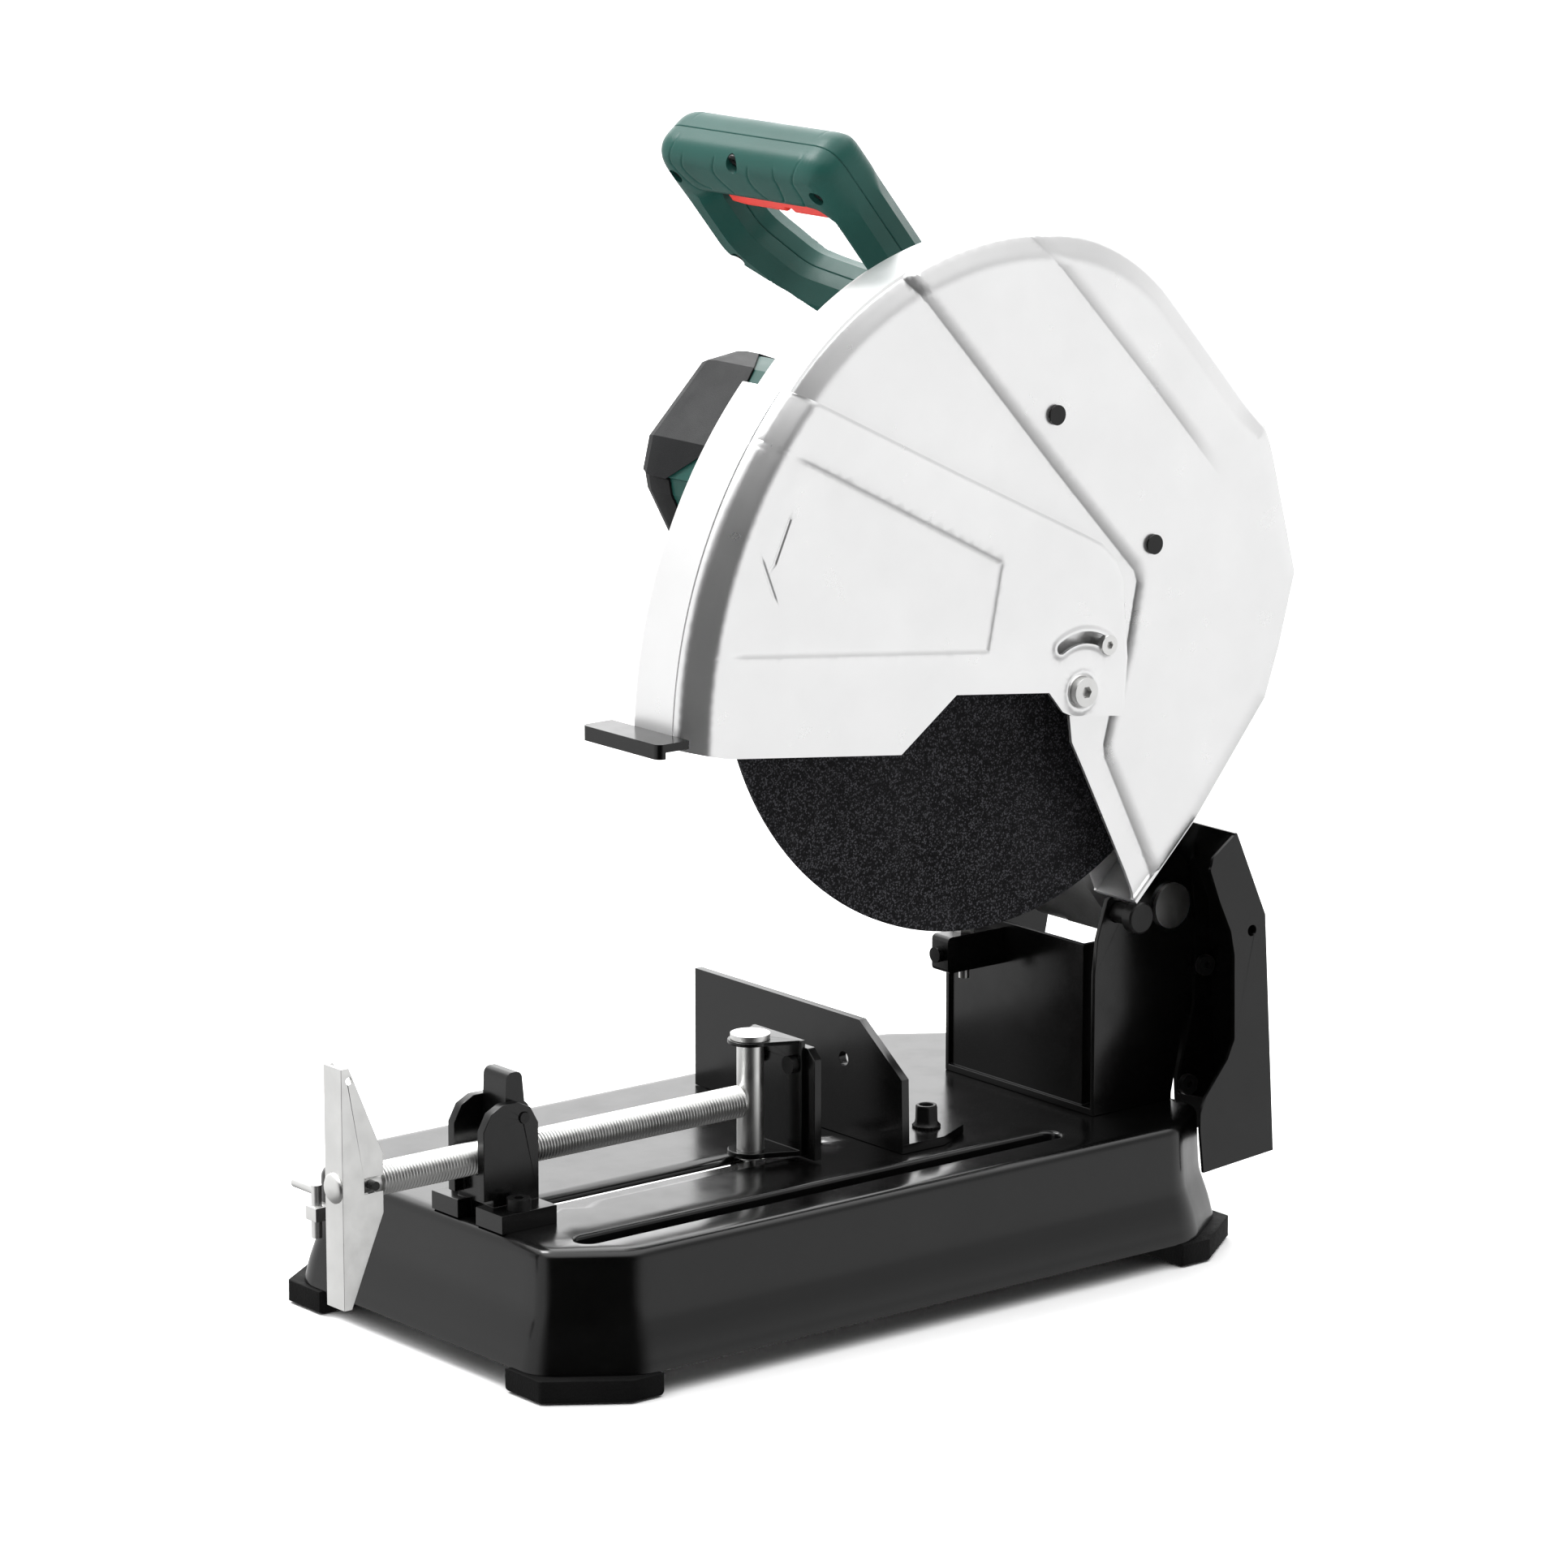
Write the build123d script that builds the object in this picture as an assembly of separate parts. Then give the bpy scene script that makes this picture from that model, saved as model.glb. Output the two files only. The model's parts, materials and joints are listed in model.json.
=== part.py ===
from build123d import *
import math
import os

# Abrasive chop saw. Millimetres. +Z is up, -Y is the operator's side, +X is the disc side.
# The origin is under the middle of the machine, on the surface that it stands on.

# ---- driving dimensions -------------------------------------------------------------------------
DISC_X, DISC_Y, DISC_Z = 98.5, 89.0, 382.0      # centre of the abrasive disc's outer face
DISC_R = 177.5
DISC_T = 3.2
FLANGE_R = 32.0                                 # clamping flanges on both sides of the disc
PLUNGE_DEG = 38.6                               # full stroke of the head about its hinge

HINGE_Y, HINGE_Z = DISC_Y + 151.0, DISC_Z - 190.0
HINGE_SHAFT_R = 10.0
MOTOR_Y, MOTOR_Z = DISC_Y - 9.0, DISC_Z + 54.26  # motor axis, one gear centre distance away
GEAR_MODULE = 2.0
GEAR_TEETH, PINION_TEETH = 45, 10
RUN = 0.05                                      # radial running clearance
WASHER_T = 1.5

BASE_HALF_X = 131.5                             # top face of the base tray
BASE_FRONT, BASE_REAR = -213.0, 249.0
BASE_TOP = 78.0
BASE_FLARE = 10.0                               # how far the bottom rim stands out past the top
BASE_CUT_X, BASE_CUT_Y = 28.0, 40.0             # corner chamfers
SHEET = 2.5
FOOT_H = 13.0

TROUGH_HALF, TROUGH_DEPTH = 7.0, 16.0           # pressed channel that the disc sinks into
TROUGH_Y0, TROUGH_Y1 = DISC_Y - 276.0, DISC_Y + 58.0
GUIDE_Y0, GUIDE_Y1 = -163.0, 32.0               # slot that keeps the vise pin in line

SCREW_X, SCREW_Z = 32.5, 112.0                  # vise spindle axis, along Y
SCREW_R = 9.0
PIN_Y = -19.0                                   # swivel pin of the vise, at rest
NUT_Y0, NUT_Y1 = -211.0, -175.0                 # nut block, front and rear
LEVER_Y, LEVER_Z = -184.5, 134.0                # hinge of the half-nut lever

FENCE_Y = 51.0                                  # clamping face of the fence
FENCE_X0, FENCE_X1 = -106.5, 79.0
FENCE_TOP = 147.0
FENCE_PIVOT_X, FENCE_PIVOT_Y = 57.5, 86.0
FENCE_SLOT_R, FENCE_SWIVEL_DEG = 48.0, 25.0

GUARD_T = 2.0
UPPER_R = 206.4                                 # rim of the upper guard, about UPPER_Y
UPPER_Y = DISC_Y + 8.5
UPPER_X0, UPPER_X1 = DISC_X - 12.0, DISC_X + 26.0
LOWER_R = 270.0                                 # rim of the lower guard, about its own pivot
LOWER_X0, LOWER_X1 = DISC_X - 17.0, DISC_X + 29.5
LOWER_Y, LOWER_Z = DISC_Y + 45.0, DISC_Z - 46.0
LIMIT_R, LIMIT_DEG, OPEN_DEG = 29.7, 52.5, 68.0  # limit pin of the lower guard and its stroke
BEVEL_X, BEVEL_R = 10.0, 14.0                   # pressed bevel between rim and side of a guard

GRIP_Y, GRIP_Z, GRIP_TILT = DISC_Y - 56.4, DISC_Z + 236.3, 51.0
GRIP_HALF = 19.0
GRIP_X0, GRIP_X1 = DISC_X - 192.0, DISC_X - 44.0

CASE_X0, CASE_X1 = DISC_X - 62.0, DISC_X - 12.0  # gear case
MOTOR_R, MOTOR_X0 = 54.0, DISC_X - 190.0
CAP_X0 = DISC_X - 222.0


# ---- small helpers ------------------------------------------------------------------------------
def block(x0, x1, y0, y1, z0, z1):
    return Pos((x0 + x1) / 2, (y0 + y1) / 2, (z0 + z1) / 2) * Box(x1 - x0, y1 - y0, z1 - z0)


def rod_x(y, z, r, x0, x1):
    return Pos((x0 + x1) / 2, y, z) * Rot(0, 90, 0) * Cylinder(r, x1 - x0)


def rod_y(x, z, r, y0, y1):
    return Pos(x, (y0 + y1) / 2, z) * Rot(90, 0, 0) * Cylinder(r, y1 - y0)


def rod_z(x, y, r, z0, z1):
    return Pos(x, y, (z0 + z1) / 2) * Cylinder(r, z1 - z0)


def face_of(points):
    return make_face(Polyline(*points, close=True))


def prism_x(points, x0, x1):
    """Extrudes a (y, z) outline along X."""
    return extrude(Plane.YZ.offset(x0) * face_of(points), x1 - x0)


def prism_y(points, y0, y1):
    """Extrudes an (x, z) outline along Y."""
    return extrude(Plane.XZ.offset(-y1) * face_of(points), y1 - y0)


def prism_z(points, z0, z1):
    return extrude(Plane.XY.offset(z0) * face_of(points), z1 - z0)


def disc_points(points):
    """Turns (y, z) measured from the disc's centre into the machine's frame."""
    return [(DISC_Y + y, DISC_Z + z) for y, z in points]


def polar(cy, cz, r, degrees):
    return cy + r * math.cos(math.radians(degrees)), cz + r * math.sin(math.radians(degrees))


def hex_x(y, z, across, x0, x1):
    plan = RegularPolygon(across / 2, 6, major_radius=False)
    return extrude(Plane.YZ.offset(x0) * Pos(y, z) * plan, x1 - x0)


def hex_z(x, y, across, z0, z1):
    plan = RegularPolygon(across / 2, 6, major_radius=False)
    return extrude(Plane.XY.offset(z0) * Pos(x, y) * plan, z1 - z0)


def bolt_z(x, y, r, z_seat, grip, head):
    """A hexagon bolt that points down, with a washer under its head."""
    z_washer = z_seat + WASHER_T
    washer = rod_z(x, y, r * 2.1, z_seat, z_washer)
    return washer + hex_z(x, y, r * 3.3, z_washer, z_washer + head) + rod_z(x, y, r, z_seat - grip, z_seat)


# ---- base ---------------------------------------------------------------------------------------
def octagon(grow):
    """Plan of the base tray, grown outwards all round."""
    x, y0, y1 = BASE_HALF_X + grow, BASE_FRONT - grow, BASE_REAR + grow
    cx, cy = BASE_CUT_X, BASE_CUT_Y
    return [(x - cx, y0), (x, y0 + cy), (x, y1 - cy), (x - cx, y1),
            (cx - x, y1), (-x, y1 - cy), (-x, y0 + cy), (cx - x, y0)]


def wall_stack(inset, top):
    """The tray's outer form: a rim, a flared skirt and a nearly upright wall."""
    levels = [(FOOT_H, BASE_FLARE), (FOOT_H + 4, BASE_FLARE), (FOOT_H + 24, 4.0), (top, 0.0)]
    body = None
    for (z0, g0), (z1, g1) in zip(levels, levels[1:]):
        lower = Plane.XY.offset(z0) * face_of(octagon(g0 - inset))
        upper = Plane.XY.offset(z1) * face_of(octagon(g1 - inset))
        part = loft([lower, upper])
        body = part if body is None else body + part
    return body


def base_tray():
    outer = wall_stack(0.0, BASE_TOP)
    outer = fillet(outer.faces().sort_by(Axis.Z)[-1].edges(), 6)
    tray = outer - wall_stack(SHEET, BASE_TOP - SHEET)
    trough = block(DISC_X - TROUGH_HALF - SHEET, DISC_X + TROUGH_HALF + SHEET,
                   TROUGH_Y0 - SHEET, TROUGH_Y1 + SHEET, BASE_TOP - TROUGH_DEPTH - SHEET, BASE_TOP - 1)
    channel = block(DISC_X - TROUGH_HALF, DISC_X + TROUGH_HALF, TROUGH_Y0, TROUGH_Y1,
                    BASE_TOP - TROUGH_DEPTH, BASE_TOP + 5)
    channel = fillet(channel.edges().filter_by(Axis.Z), TROUGH_HALF - 0.5)
    guide = block(SCREW_X - 4.25, SCREW_X + 4.25, GUIDE_Y0, GUIDE_Y1, BASE_TOP - 10, BASE_TOP + 5)
    guide = fillet(guide.edges().filter_by(Axis.Z), 4.2)
    tray = (tray + trough) - channel - guide
    for x, y in fence_bolt_places() + bracket_bolt_places() + nut_bolt_places():
        tray -= rod_z(x, y, 4.0, BASE_TOP - 5, BASE_TOP + 5)
    return tray


def rubber_feet():
    """Four pads under the tray's corners, each with the corner's own outline."""
    plan = prism_z(octagon(BASE_FLARE + 2.5), 0, FOOT_H)
    plan = chamfer(plan.faces().sort_by(Axis.Z)[0].edges(), 1.5)
    reach = 48.0
    feet = []
    for sx in (-1, 1):
        x0, x1 = sorted((sx * (BASE_HALF_X - 46), sx * (BASE_HALF_X + 30)))
        for y0, y1 in ((BASE_FRONT - 20, BASE_FRONT + reach), (BASE_REAR - reach, BASE_REAR + 20)):
            feet.append(plan & block(x0, x1, y0, y1, -1, FOOT_H + 1))
    return feet


# ---- hinge bracket, deflector and stop ------------------------------------------------------------
CHEEK_X0, CHEEK_X1 = DISC_X - 141.0, DISC_X - 12.0   # outer faces of the two cheeks
CHEEK_T = 3.0
PANEL_Y = DISC_Y + 97.0


def bracket_bolt_places():
    return [(x, y) for x in (CHEEK_X0 + 22, CHEEK_X1 - 26) for y in (PANEL_Y + 16, BASE_REAR - 16)]


def hinge_bracket():
    """A welded bracket: floor plate, front panel and two cheeks that carry the hinge shaft."""
    cheek = [(PANEL_Y - 2, BASE_TOP + 4), (PANEL_Y - 2, DISC_Z - 222), (PANEL_Y, DISC_Z - 202),
             (PANEL_Y + 7, DISC_Z - 180), (HINGE_Y - 30, HINGE_Z + 22), (HINGE_Y - 14, HINGE_Z + 30),
             (HINGE_Y + 8, HINGE_Z + 28), (HINGE_Y + 20, HINGE_Z + 14), (HINGE_Y + 20, HINGE_Z - 30),
             (BASE_REAR - 6, BASE_TOP + 4)]
    body = block(CHEEK_X0, CHEEK_X1, PANEL_Y - 2, BASE_REAR - 6, BASE_TOP, BASE_TOP + 4)
    for x0 in (CHEEK_X0, CHEEK_X1 - CHEEK_T):
        body += prism_x(cheek, x0, x0 + CHEEK_T)
    panel_x1 = CHEEK_X1 - 12
    body += block(CHEEK_X0, panel_x1, PANEL_Y, PANEL_Y + CHEEK_T, BASE_TOP + 4, DISC_Z - 207)
    body += block(panel_x1 - CHEEK_T, panel_x1, PANEL_Y, PANEL_Y + 20, BASE_TOP + 4, DISC_Z - 207)
    body -= rod_x(HINGE_Y, HINGE_Z, HINGE_SHAFT_R, CHEEK_X0 - 5, CHEEK_X1 + 5)
    body -= rod_x(LOCK_Y, LOCK_Z, 6.0 + RUN, CHEEK_X1 - 8, CHEEK_X1 + 5)
    for x, y in bracket_bolt_places():
        body -= rod_z(x, y, 4.0, BASE_TOP - 1, BASE_TOP + 8)
    return body


def bracket_bolts():
    z_seat = BASE_TOP + 4.0
    return [bolt_z(x, y, 4.0, z_seat, 4 + SHEET + 6, 5) for x, y in bracket_bolt_places()]


def hinge_shaft():
    """Shaft with a head at the disc side."""
    return (rod_x(HINGE_Y, HINGE_Z, HINGE_SHAFT_R, CHEEK_X0 - 6, CHEEK_X1)
            + rod_x(HINGE_Y, HINGE_Z, HINGE_SHAFT_R + 3, CHEEK_X1, CHEEK_X1 + 2.5))


def shaft_ring():
    ring = rod_x(HINGE_Y, HINGE_Z, HINGE_SHAFT_R + 4, CHEEK_X0 - 2.5, CHEEK_X0)
    return ring - rod_x(HINGE_Y, HINGE_Z, HINGE_SHAFT_R, CHEEK_X0 - 4, CHEEK_X0 + 1)


DEFLECT_X0, DEFLECT_X1 = CHEEK_X1, DISC_X + 34.5
DEFLECT_T = 2.0
DEFLECT_WING = 34.0                             # how far its back sheet reaches behind the near cheek


def deflector_back(shift):
    """Line of the back wall, upright below and leaning forward above."""
    return [(DISC_Y + y - shift, DISC_Z + z) for y, z in ((190, -330), (181, -191), (158.5, -141))]


def spark_deflector():
    """A sheet trough behind the disc: back wall, a wide flange on the free side, a tab on the cheek."""
    outer, inner = deflector_back(0), deflector_back(DEFLECT_T)
    back = prism_x(outer + inner[::-1], DEFLECT_X0 - DEFLECT_WING, DEFLECT_X1)
    flange = disc_points([(190, -330), (181, -191), (158.5, -141), (141, -153), (139, -160), (146, -178),
                          (155, -197), (158, -211), (159, -260), (154, -271), (138, -290), (134, -299),
                          (134, -309), (137, -334)])
    side = prism_x(flange, DEFLECT_X1 - DEFLECT_T, DEFLECT_X1)
    tab = disc_points([(188.6, -310), (180, -191), (167, -162), (165, -168), (166, -178), (169, -200),
                       (169, -250), (158, -290), (158, -301)])
    mount = prism_x(tab, DEFLECT_X0, DEFLECT_X0 + DEFLECT_T)
    body = back + side + mount
    body -= rod_x(DISC_Y + 171, DISC_Z - 199, 3.2, DEFLECT_X1 - 5, DEFLECT_X1 + 5)
    for y, z in deflector_screw_places():
        body -= rod_x(y, z, 3.0, DEFLECT_X0 - 1, DEFLECT_X0 + 4)
    return body


def deflector_screw_places():
    return [(DISC_Y + 163, DISC_Z - 296), (DISC_Y + 175, DISC_Z - 228)]


def deflector_screws():
    screws = []
    for y, z in deflector_screw_places():
        head = rod_x(y, z, 6, DEFLECT_X0 + DEFLECT_T, DEFLECT_X0 + DEFLECT_T + 3.5)
        socket = hex_x(y, z, 4, DEFLECT_X0 + DEFLECT_T + 1.5, DEFLECT_X0 + 9)
        screws.append(head + rod_x(y, z, 3, DEFLECT_X0, DEFLECT_X0 + DEFLECT_T) - socket)
    return screws


STOP_X = DISC_X - 99.0
STOP_Y0, STOP_Y1 = PANEL_Y - 42.0, PANEL_Y
STOP_Z0, STOP_Z1 = DISC_Z - 231.0, DISC_Z - 210.0
STOP_BOLT_Y = PANEL_Y - 24.0
STOP_BOLT_TOP = DISC_Z - 200.2
STOP_GAP = 0.4


def depth_stop_block():
    """The lug on the bracket's front panel that carries the depth stop bolt."""
    lug = block(STOP_X - 7, STOP_X + 7, STOP_Y0, STOP_Y1, STOP_Z0, STOP_Z1)
    lug = fillet(lug.edges().filter_by(Axis.X).group_by(Axis.Y)[0], 3)
    lug += rod_y(STOP_X, (STOP_Z0 + STOP_Z1) / 2, 4.5, STOP_Y0 - 4, STOP_Y0)
    return lug - rod_z(STOP_X, STOP_BOLT_Y, 3.0, STOP_Z0 - 5, STOP_Z1 + 5)


def depth_stop_bolt():
    shank = rod_z(STOP_X, STOP_BOLT_Y, 3.0, STOP_Z0 - 6, STOP_BOLT_TOP - 4)
    nut = hex_z(STOP_X, STOP_BOLT_Y, 10, STOP_Z1, STOP_Z1 + 4)
    return shank + hex_z(STOP_X, STOP_BOLT_Y, 10, STOP_BOLT_TOP - 4, STOP_BOLT_TOP) + nut


LOCK_Y, LOCK_Z = PANEL_Y + 15.0, HINGE_Z + 2.0


def lock_pin():
    """Transport lock: a bright pin through the near cheek, with a knob outside."""
    pin = rod_x(LOCK_Y, LOCK_Z, 6.0, CHEEK_X1 - CHEEK_T - 3.0, CHEEK_X1 + 12)
    knob = rod_x(LOCK_Y, LOCK_Z, 9.0, CHEEK_X1 + 12, CHEEK_X1 + 20)
    return pin + chamfer(knob.edges(), 1.0)


def key_holder():
    """A small bright clip on the front wall of the tray, with the hex key for the arbor bolt."""
    y = BASE_FRONT - 4.5
    shank = rod_z(-92, y - 4.5, 3.0, BASE_TOP - 36, BASE_TOP - 6)
    key = shank + rod_x(y - 4.5, BASE_TOP - 9, 3.0, -112, -92)
    clip = block(-97, -87, y - 8.5, BASE_FRONT + 0.5, BASE_TOP - 26, BASE_TOP - 18) - shank
    return key, clip - wall_stack(0.0, BASE_TOP)


# ---- fence ----------------------------------------------------------------------------------------
def fence_bolt_places():
    return [(FENCE_PIVOT_X, FENCE_PIVOT_Y), (FENCE_PIVOT_X - FENCE_SLOT_R, FENCE_PIVOT_Y)]


def fence_slot():
    """Arc slot about the fence's pivot bolt, for the clamp bolt."""
    half = 4.3
    outer, inner = FENCE_SLOT_R + half, FENCE_SLOT_R - half
    ring = rod_z(FENCE_PIVOT_X, FENCE_PIVOT_Y, outer, BASE_TOP - 2, BASE_TOP + 12)
    ring -= rod_z(FENCE_PIVOT_X, FENCE_PIVOT_Y, inner, BASE_TOP - 2, BASE_TOP + 12)
    reach = 2 * outer
    ends = (180, 180 + FENCE_SWIVEL_DEG)
    wedge = [(FENCE_PIVOT_X, FENCE_PIVOT_Y)]
    wedge += [polar(FENCE_PIVOT_X, FENCE_PIVOT_Y, reach, a) for a in ends]
    slot = ring & prism_z(wedge, BASE_TOP - 2, BASE_TOP + 12)
    for a in ends:
        x, y = polar(FENCE_PIVOT_X, FENCE_PIVOT_Y, FENCE_SLOT_R, a)
        slot += rod_z(x, y, half, BASE_TOP - 2, BASE_TOP + 12)
    return slot


FENCE_GAP = 0.3


def fence():
    """An angle: a tall clamping plate and a foot that is bolted to the base."""
    foot_z0, foot_z1 = BASE_TOP + FENCE_GAP, BASE_TOP + FENCE_GAP + 5
    plate = prism_y([(FENCE_X0, foot_z0), (FENCE_X1, foot_z0), (FENCE_X1 - 1, DISC_Z - 262),
                     (FENCE_X1 - 38, FENCE_TOP), (FENCE_X0, FENCE_TOP)], FENCE_Y, FENCE_Y + 5)
    foot = prism_z([(FENCE_X0, FENCE_Y), (FENCE_X1, FENCE_Y), (FENCE_X1, FENCE_Y + 30),
                    (FENCE_X1 - 12, FENCE_Y + 54), (FENCE_X0 + 60, FENCE_Y + 54), (FENCE_X0, FENCE_Y + 20)],
                   foot_z0, foot_z1)
    body = plate + foot
    body -= rod_z(FENCE_PIVOT_X, FENCE_PIVOT_Y, 4.0 + RUN, BASE_TOP - 2, BASE_TOP + 12)
    body -= fence_slot()
    return body - rod_y(DISC_X - 71, DISC_Z - 260, 4.0, FENCE_Y - 5, FENCE_Y + 12)


def fence_bolts():
    seat = BASE_TOP + 2 * FENCE_GAP + 5
    return [bolt_z(x, y, 4.0, seat, seat - BASE_TOP + SHEET + 6, 11) for x, y in fence_bolt_places()]


# ---- vise -----------------------------------------------------------------------------------------
NUT_X0, NUT_X1 = SCREW_X - 16.0, SCREW_X + 16.0


def nut_bolt_places():
    return [(SCREW_X - 25, NUT_Y0 + 16), (SCREW_X + 25, NUT_Y0 + 16)]


def nut_block():
    """Two cheeks on a footed block. The spindle lies in a half-round cradle between them."""
    body = block(SCREW_X - 32, SCREW_X + 32, NUT_Y0, NUT_Y1, BASE_TOP, BASE_TOP + 10)
    body -= block(SCREW_X - 8, SCREW_X + 8, NUT_Y0 - 1, NUT_Y0 + 9, BASE_TOP - 1, BASE_TOP + 12)
    body += block(NUT_X0, NUT_X1, NUT_Y0 + 6, NUT_Y1, BASE_TOP + 10, SCREW_Z)
    cheek = [(NUT_Y0, SCREW_Z - 20), (NUT_Y1, SCREW_Z - 20), (NUT_Y1, SCREW_Z + 18),
             (NUT_Y1 - 5, SCREW_Z + 27), (NUT_Y1 - 13, SCREW_Z + 31), (NUT_Y1 - 23, SCREW_Z + 31),
             (NUT_Y0 + 5, SCREW_Z + 27), (NUT_Y0, SCREW_Z + 18)]
    for x0, x1 in ((NUT_X0, NUT_X0 + 5.5), (NUT_X1 - 5.5, NUT_X1)):
        body += prism_x(cheek, x0, x1)
    body -= rod_y(SCREW_X, SCREW_Z, SCREW_R + 0.3, NUT_Y0 - 5, NUT_Y1 + 5)
    body -= rod_x(LEVER_Y, LEVER_Z, 3.0, NUT_X0 - 5, NUT_X1 + 5)
    for x, y in nut_bolt_places():
        body -= rod_z(x, y, 4.0, BASE_TOP - 1, BASE_TOP + 12)
    return body


def nut_block_bolts():
    bolts = []
    for x, y in nut_bolt_places():
        head = rod_z(x, y, 6.5, BASE_TOP + 10, BASE_TOP + 16) - hex_z(x, y, 5, BASE_TOP + 12, BASE_TOP + 18)
        bolts.append(head + rod_z(x, y, 4.0, BASE_TOP - SHEET - 6, BASE_TOP + 10))
    return bolts


def lever_pin():
    return rod_x(LEVER_Y, LEVER_Z, 3.0, NUT_X0 - 1, NUT_X1 + 1)


def half_nut_lever():
    """The quick-release: a half nut that drops on the spindle, with a thumb tab above."""
    x0, x1 = NUT_X0 + 5.9, NUT_X1 - 5.9
    hub = rod_x(LEVER_Y, LEVER_Z, 8.5, x0, x1)
    tab = prism_x([(LEVER_Y - 8, LEVER_Z + 2), (LEVER_Y + 5, LEVER_Z + 4), (LEVER_Y + 3, LEVER_Z + 24),
                   (LEVER_Y - 7, LEVER_Z + 24)], x0, x1)
    tab = fillet(tab.edges().filter_by(Axis.X).group_by(Axis.Z)[-1], 4)
    nut = prism_x([(LEVER_Y + 2, LEVER_Z - 7), (LEVER_Y + 3, SCREW_Z + 1), (LEVER_Y + 12, SCREW_Z + 1),
                   (LEVER_Y + 12, LEVER_Z - 4), (LEVER_Y + 8, LEVER_Z + 3)], x0, x1)
    body = hub + tab + nut
    body -= rod_y(SCREW_X, SCREW_Z, SCREW_R + 0.25, LEVER_Y - 20, LEVER_Y + 30)
    return body - rod_x(LEVER_Y, LEVER_Z, 3.0 + RUN, x0 - 5, x1 + 5)


T_HANDLE_Y = DISC_Y - 385.0
T_HANDLE_HALF = 65.5


def vise_spindle():
    """The threaded rod, from the T-handle to the swivel pin."""
    thread = rod_y(SCREW_X, SCREW_Z, SCREW_R, T_HANDLE_Y + 14, PIN_Y - 7.9)
    thread = chamfer(thread.edges(), 1.2)
    neck = rod_y(SCREW_X, SCREW_Z, 6.0, T_HANDLE_Y - 2.5, T_HANDLE_Y + 14)
    head = rod_y(SCREW_X, SCREW_Z, 9.5, T_HANDLE_Y - 3, T_HANDLE_Y)
    return thread + neck + head - rod_x(T_HANDLE_Y + 19, SCREW_Z, 2.5, SCREW_X - 20, SCREW_X + 20)


def t_handle():
    """A folded channel: a narrow web at the front and two tapered side flanges."""
    half, web, depth = T_HANDLE_HALF, 8.0, 26.0
    y0 = T_HANDLE_Y
    side = [(y0, SCREW_Z - half), (y0 + 5, SCREW_Z - half), (y0 + depth, SCREW_Z - 16),
            (y0 + depth, SCREW_Z + 16), (y0 + 5, SCREW_Z + half), (y0, SCREW_Z + half)]
    outer = prism_x(side, SCREW_X - web, SCREW_X + web)
    hollow = block(SCREW_X - web + 2, SCREW_X + web - 2, y0 + 2, y0 + depth + 5, SCREW_Z - 80, SCREW_Z + 80)
    body = outer - hollow
    body += rod_y(SCREW_X, SCREW_Z, 9.5, y0, y0 + 14) & block(SCREW_X - web, SCREW_X + web, y0, y0 + 30,
                                                               SCREW_Z - 12, SCREW_Z + 12)
    body -= rod_y(SCREW_X, SCREW_Z, 6.0, y0 - 5, y0 + 20)
    body -= rod_y(SCREW_X, SCREW_Z, SCREW_R, y0 + 14, y0 + 40)
    body -= rod_x(y0 + 19, SCREW_Z, 2.5, SCREW_X - 20, SCREW_X + 20)
    return body - rod_x(y0 + 5, SCREW_Z + half - 7, 2.0, SCREW_X - 20, SCREW_X + 20)


def cross_pin():
    return rod_x(T_HANDLE_Y + 19, SCREW_Z, 2.5, SCREW_X - 11, SCREW_X + 11)


def swivel_pin():
    """The upright pin at the end of the spindle, with a head over the jaw bracket."""
    body = rod_z(SCREW_X, PIN_Y, 7.5, BASE_TOP + 1, BASE_TOP + 66)
    body += rod_z(SCREW_X, PIN_Y, 11.0, BASE_TOP + 68.6, BASE_TOP + 71.6)
    body += rod_z(SCREW_X, PIN_Y, 7.5, BASE_TOP + 66, BASE_TOP + 69)
    body += rod_z(SCREW_X, PIN_Y, 3.9, BASE_TOP - 7.5, BASE_TOP + 1)
    return body


def pin_guide():
    """Washer and nut under the tray that keep the pin down in its slot."""
    body = rod_z(SCREW_X, PIN_Y, 11, BASE_TOP - 5.5, BASE_TOP - 3)
    body += hex_z(SCREW_X, PIN_Y, 13, BASE_TOP - 10, BASE_TOP - 5.5)
    return body - rod_z(SCREW_X, PIN_Y, 3.9, BASE_TOP - 12, BASE_TOP)


JAW_FACE_Y = PIN_Y + 26.0
JAW_HALF = 30.0


def jaw_bracket():
    """A folded bracket that swivels on the pin: two ears and a web."""
    ears = None
    for z0, z1 in ((BASE_TOP + 66.2, BASE_TOP + 68.4), (BASE_TOP + 3, BASE_TOP + 6)):
        ear = rod_z(SCREW_X, PIN_Y, 12.5, z0, z1)
        ear += prism_z([(SCREW_X - 12.5, PIN_Y), (SCREW_X + 12.5, PIN_Y), (SCREW_X + 22, JAW_FACE_Y - 5),
                        (SCREW_X - 22, JAW_FACE_Y - 5)], z0, z1)
        ears = ear if ears is None else ears + ear
    web = block(SCREW_X - 22, SCREW_X + 22, JAW_FACE_Y - 8, JAW_FACE_Y - 5, BASE_TOP + 3, BASE_TOP + 68.4)
    body = ears + web
    for x, z in jaw_bolt_places():
        body -= rod_y(x, z, 3.0, PIN_Y, JAW_FACE_Y + 5)
    return body - rod_z(SCREW_X, PIN_Y, 7.5 + RUN, BASE_TOP, BASE_TOP + 80)


def jaw_bolt_places():
    return [(SCREW_X - 15, BASE_TOP + 54), (SCREW_X + 15, BASE_TOP + 54)]


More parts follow.
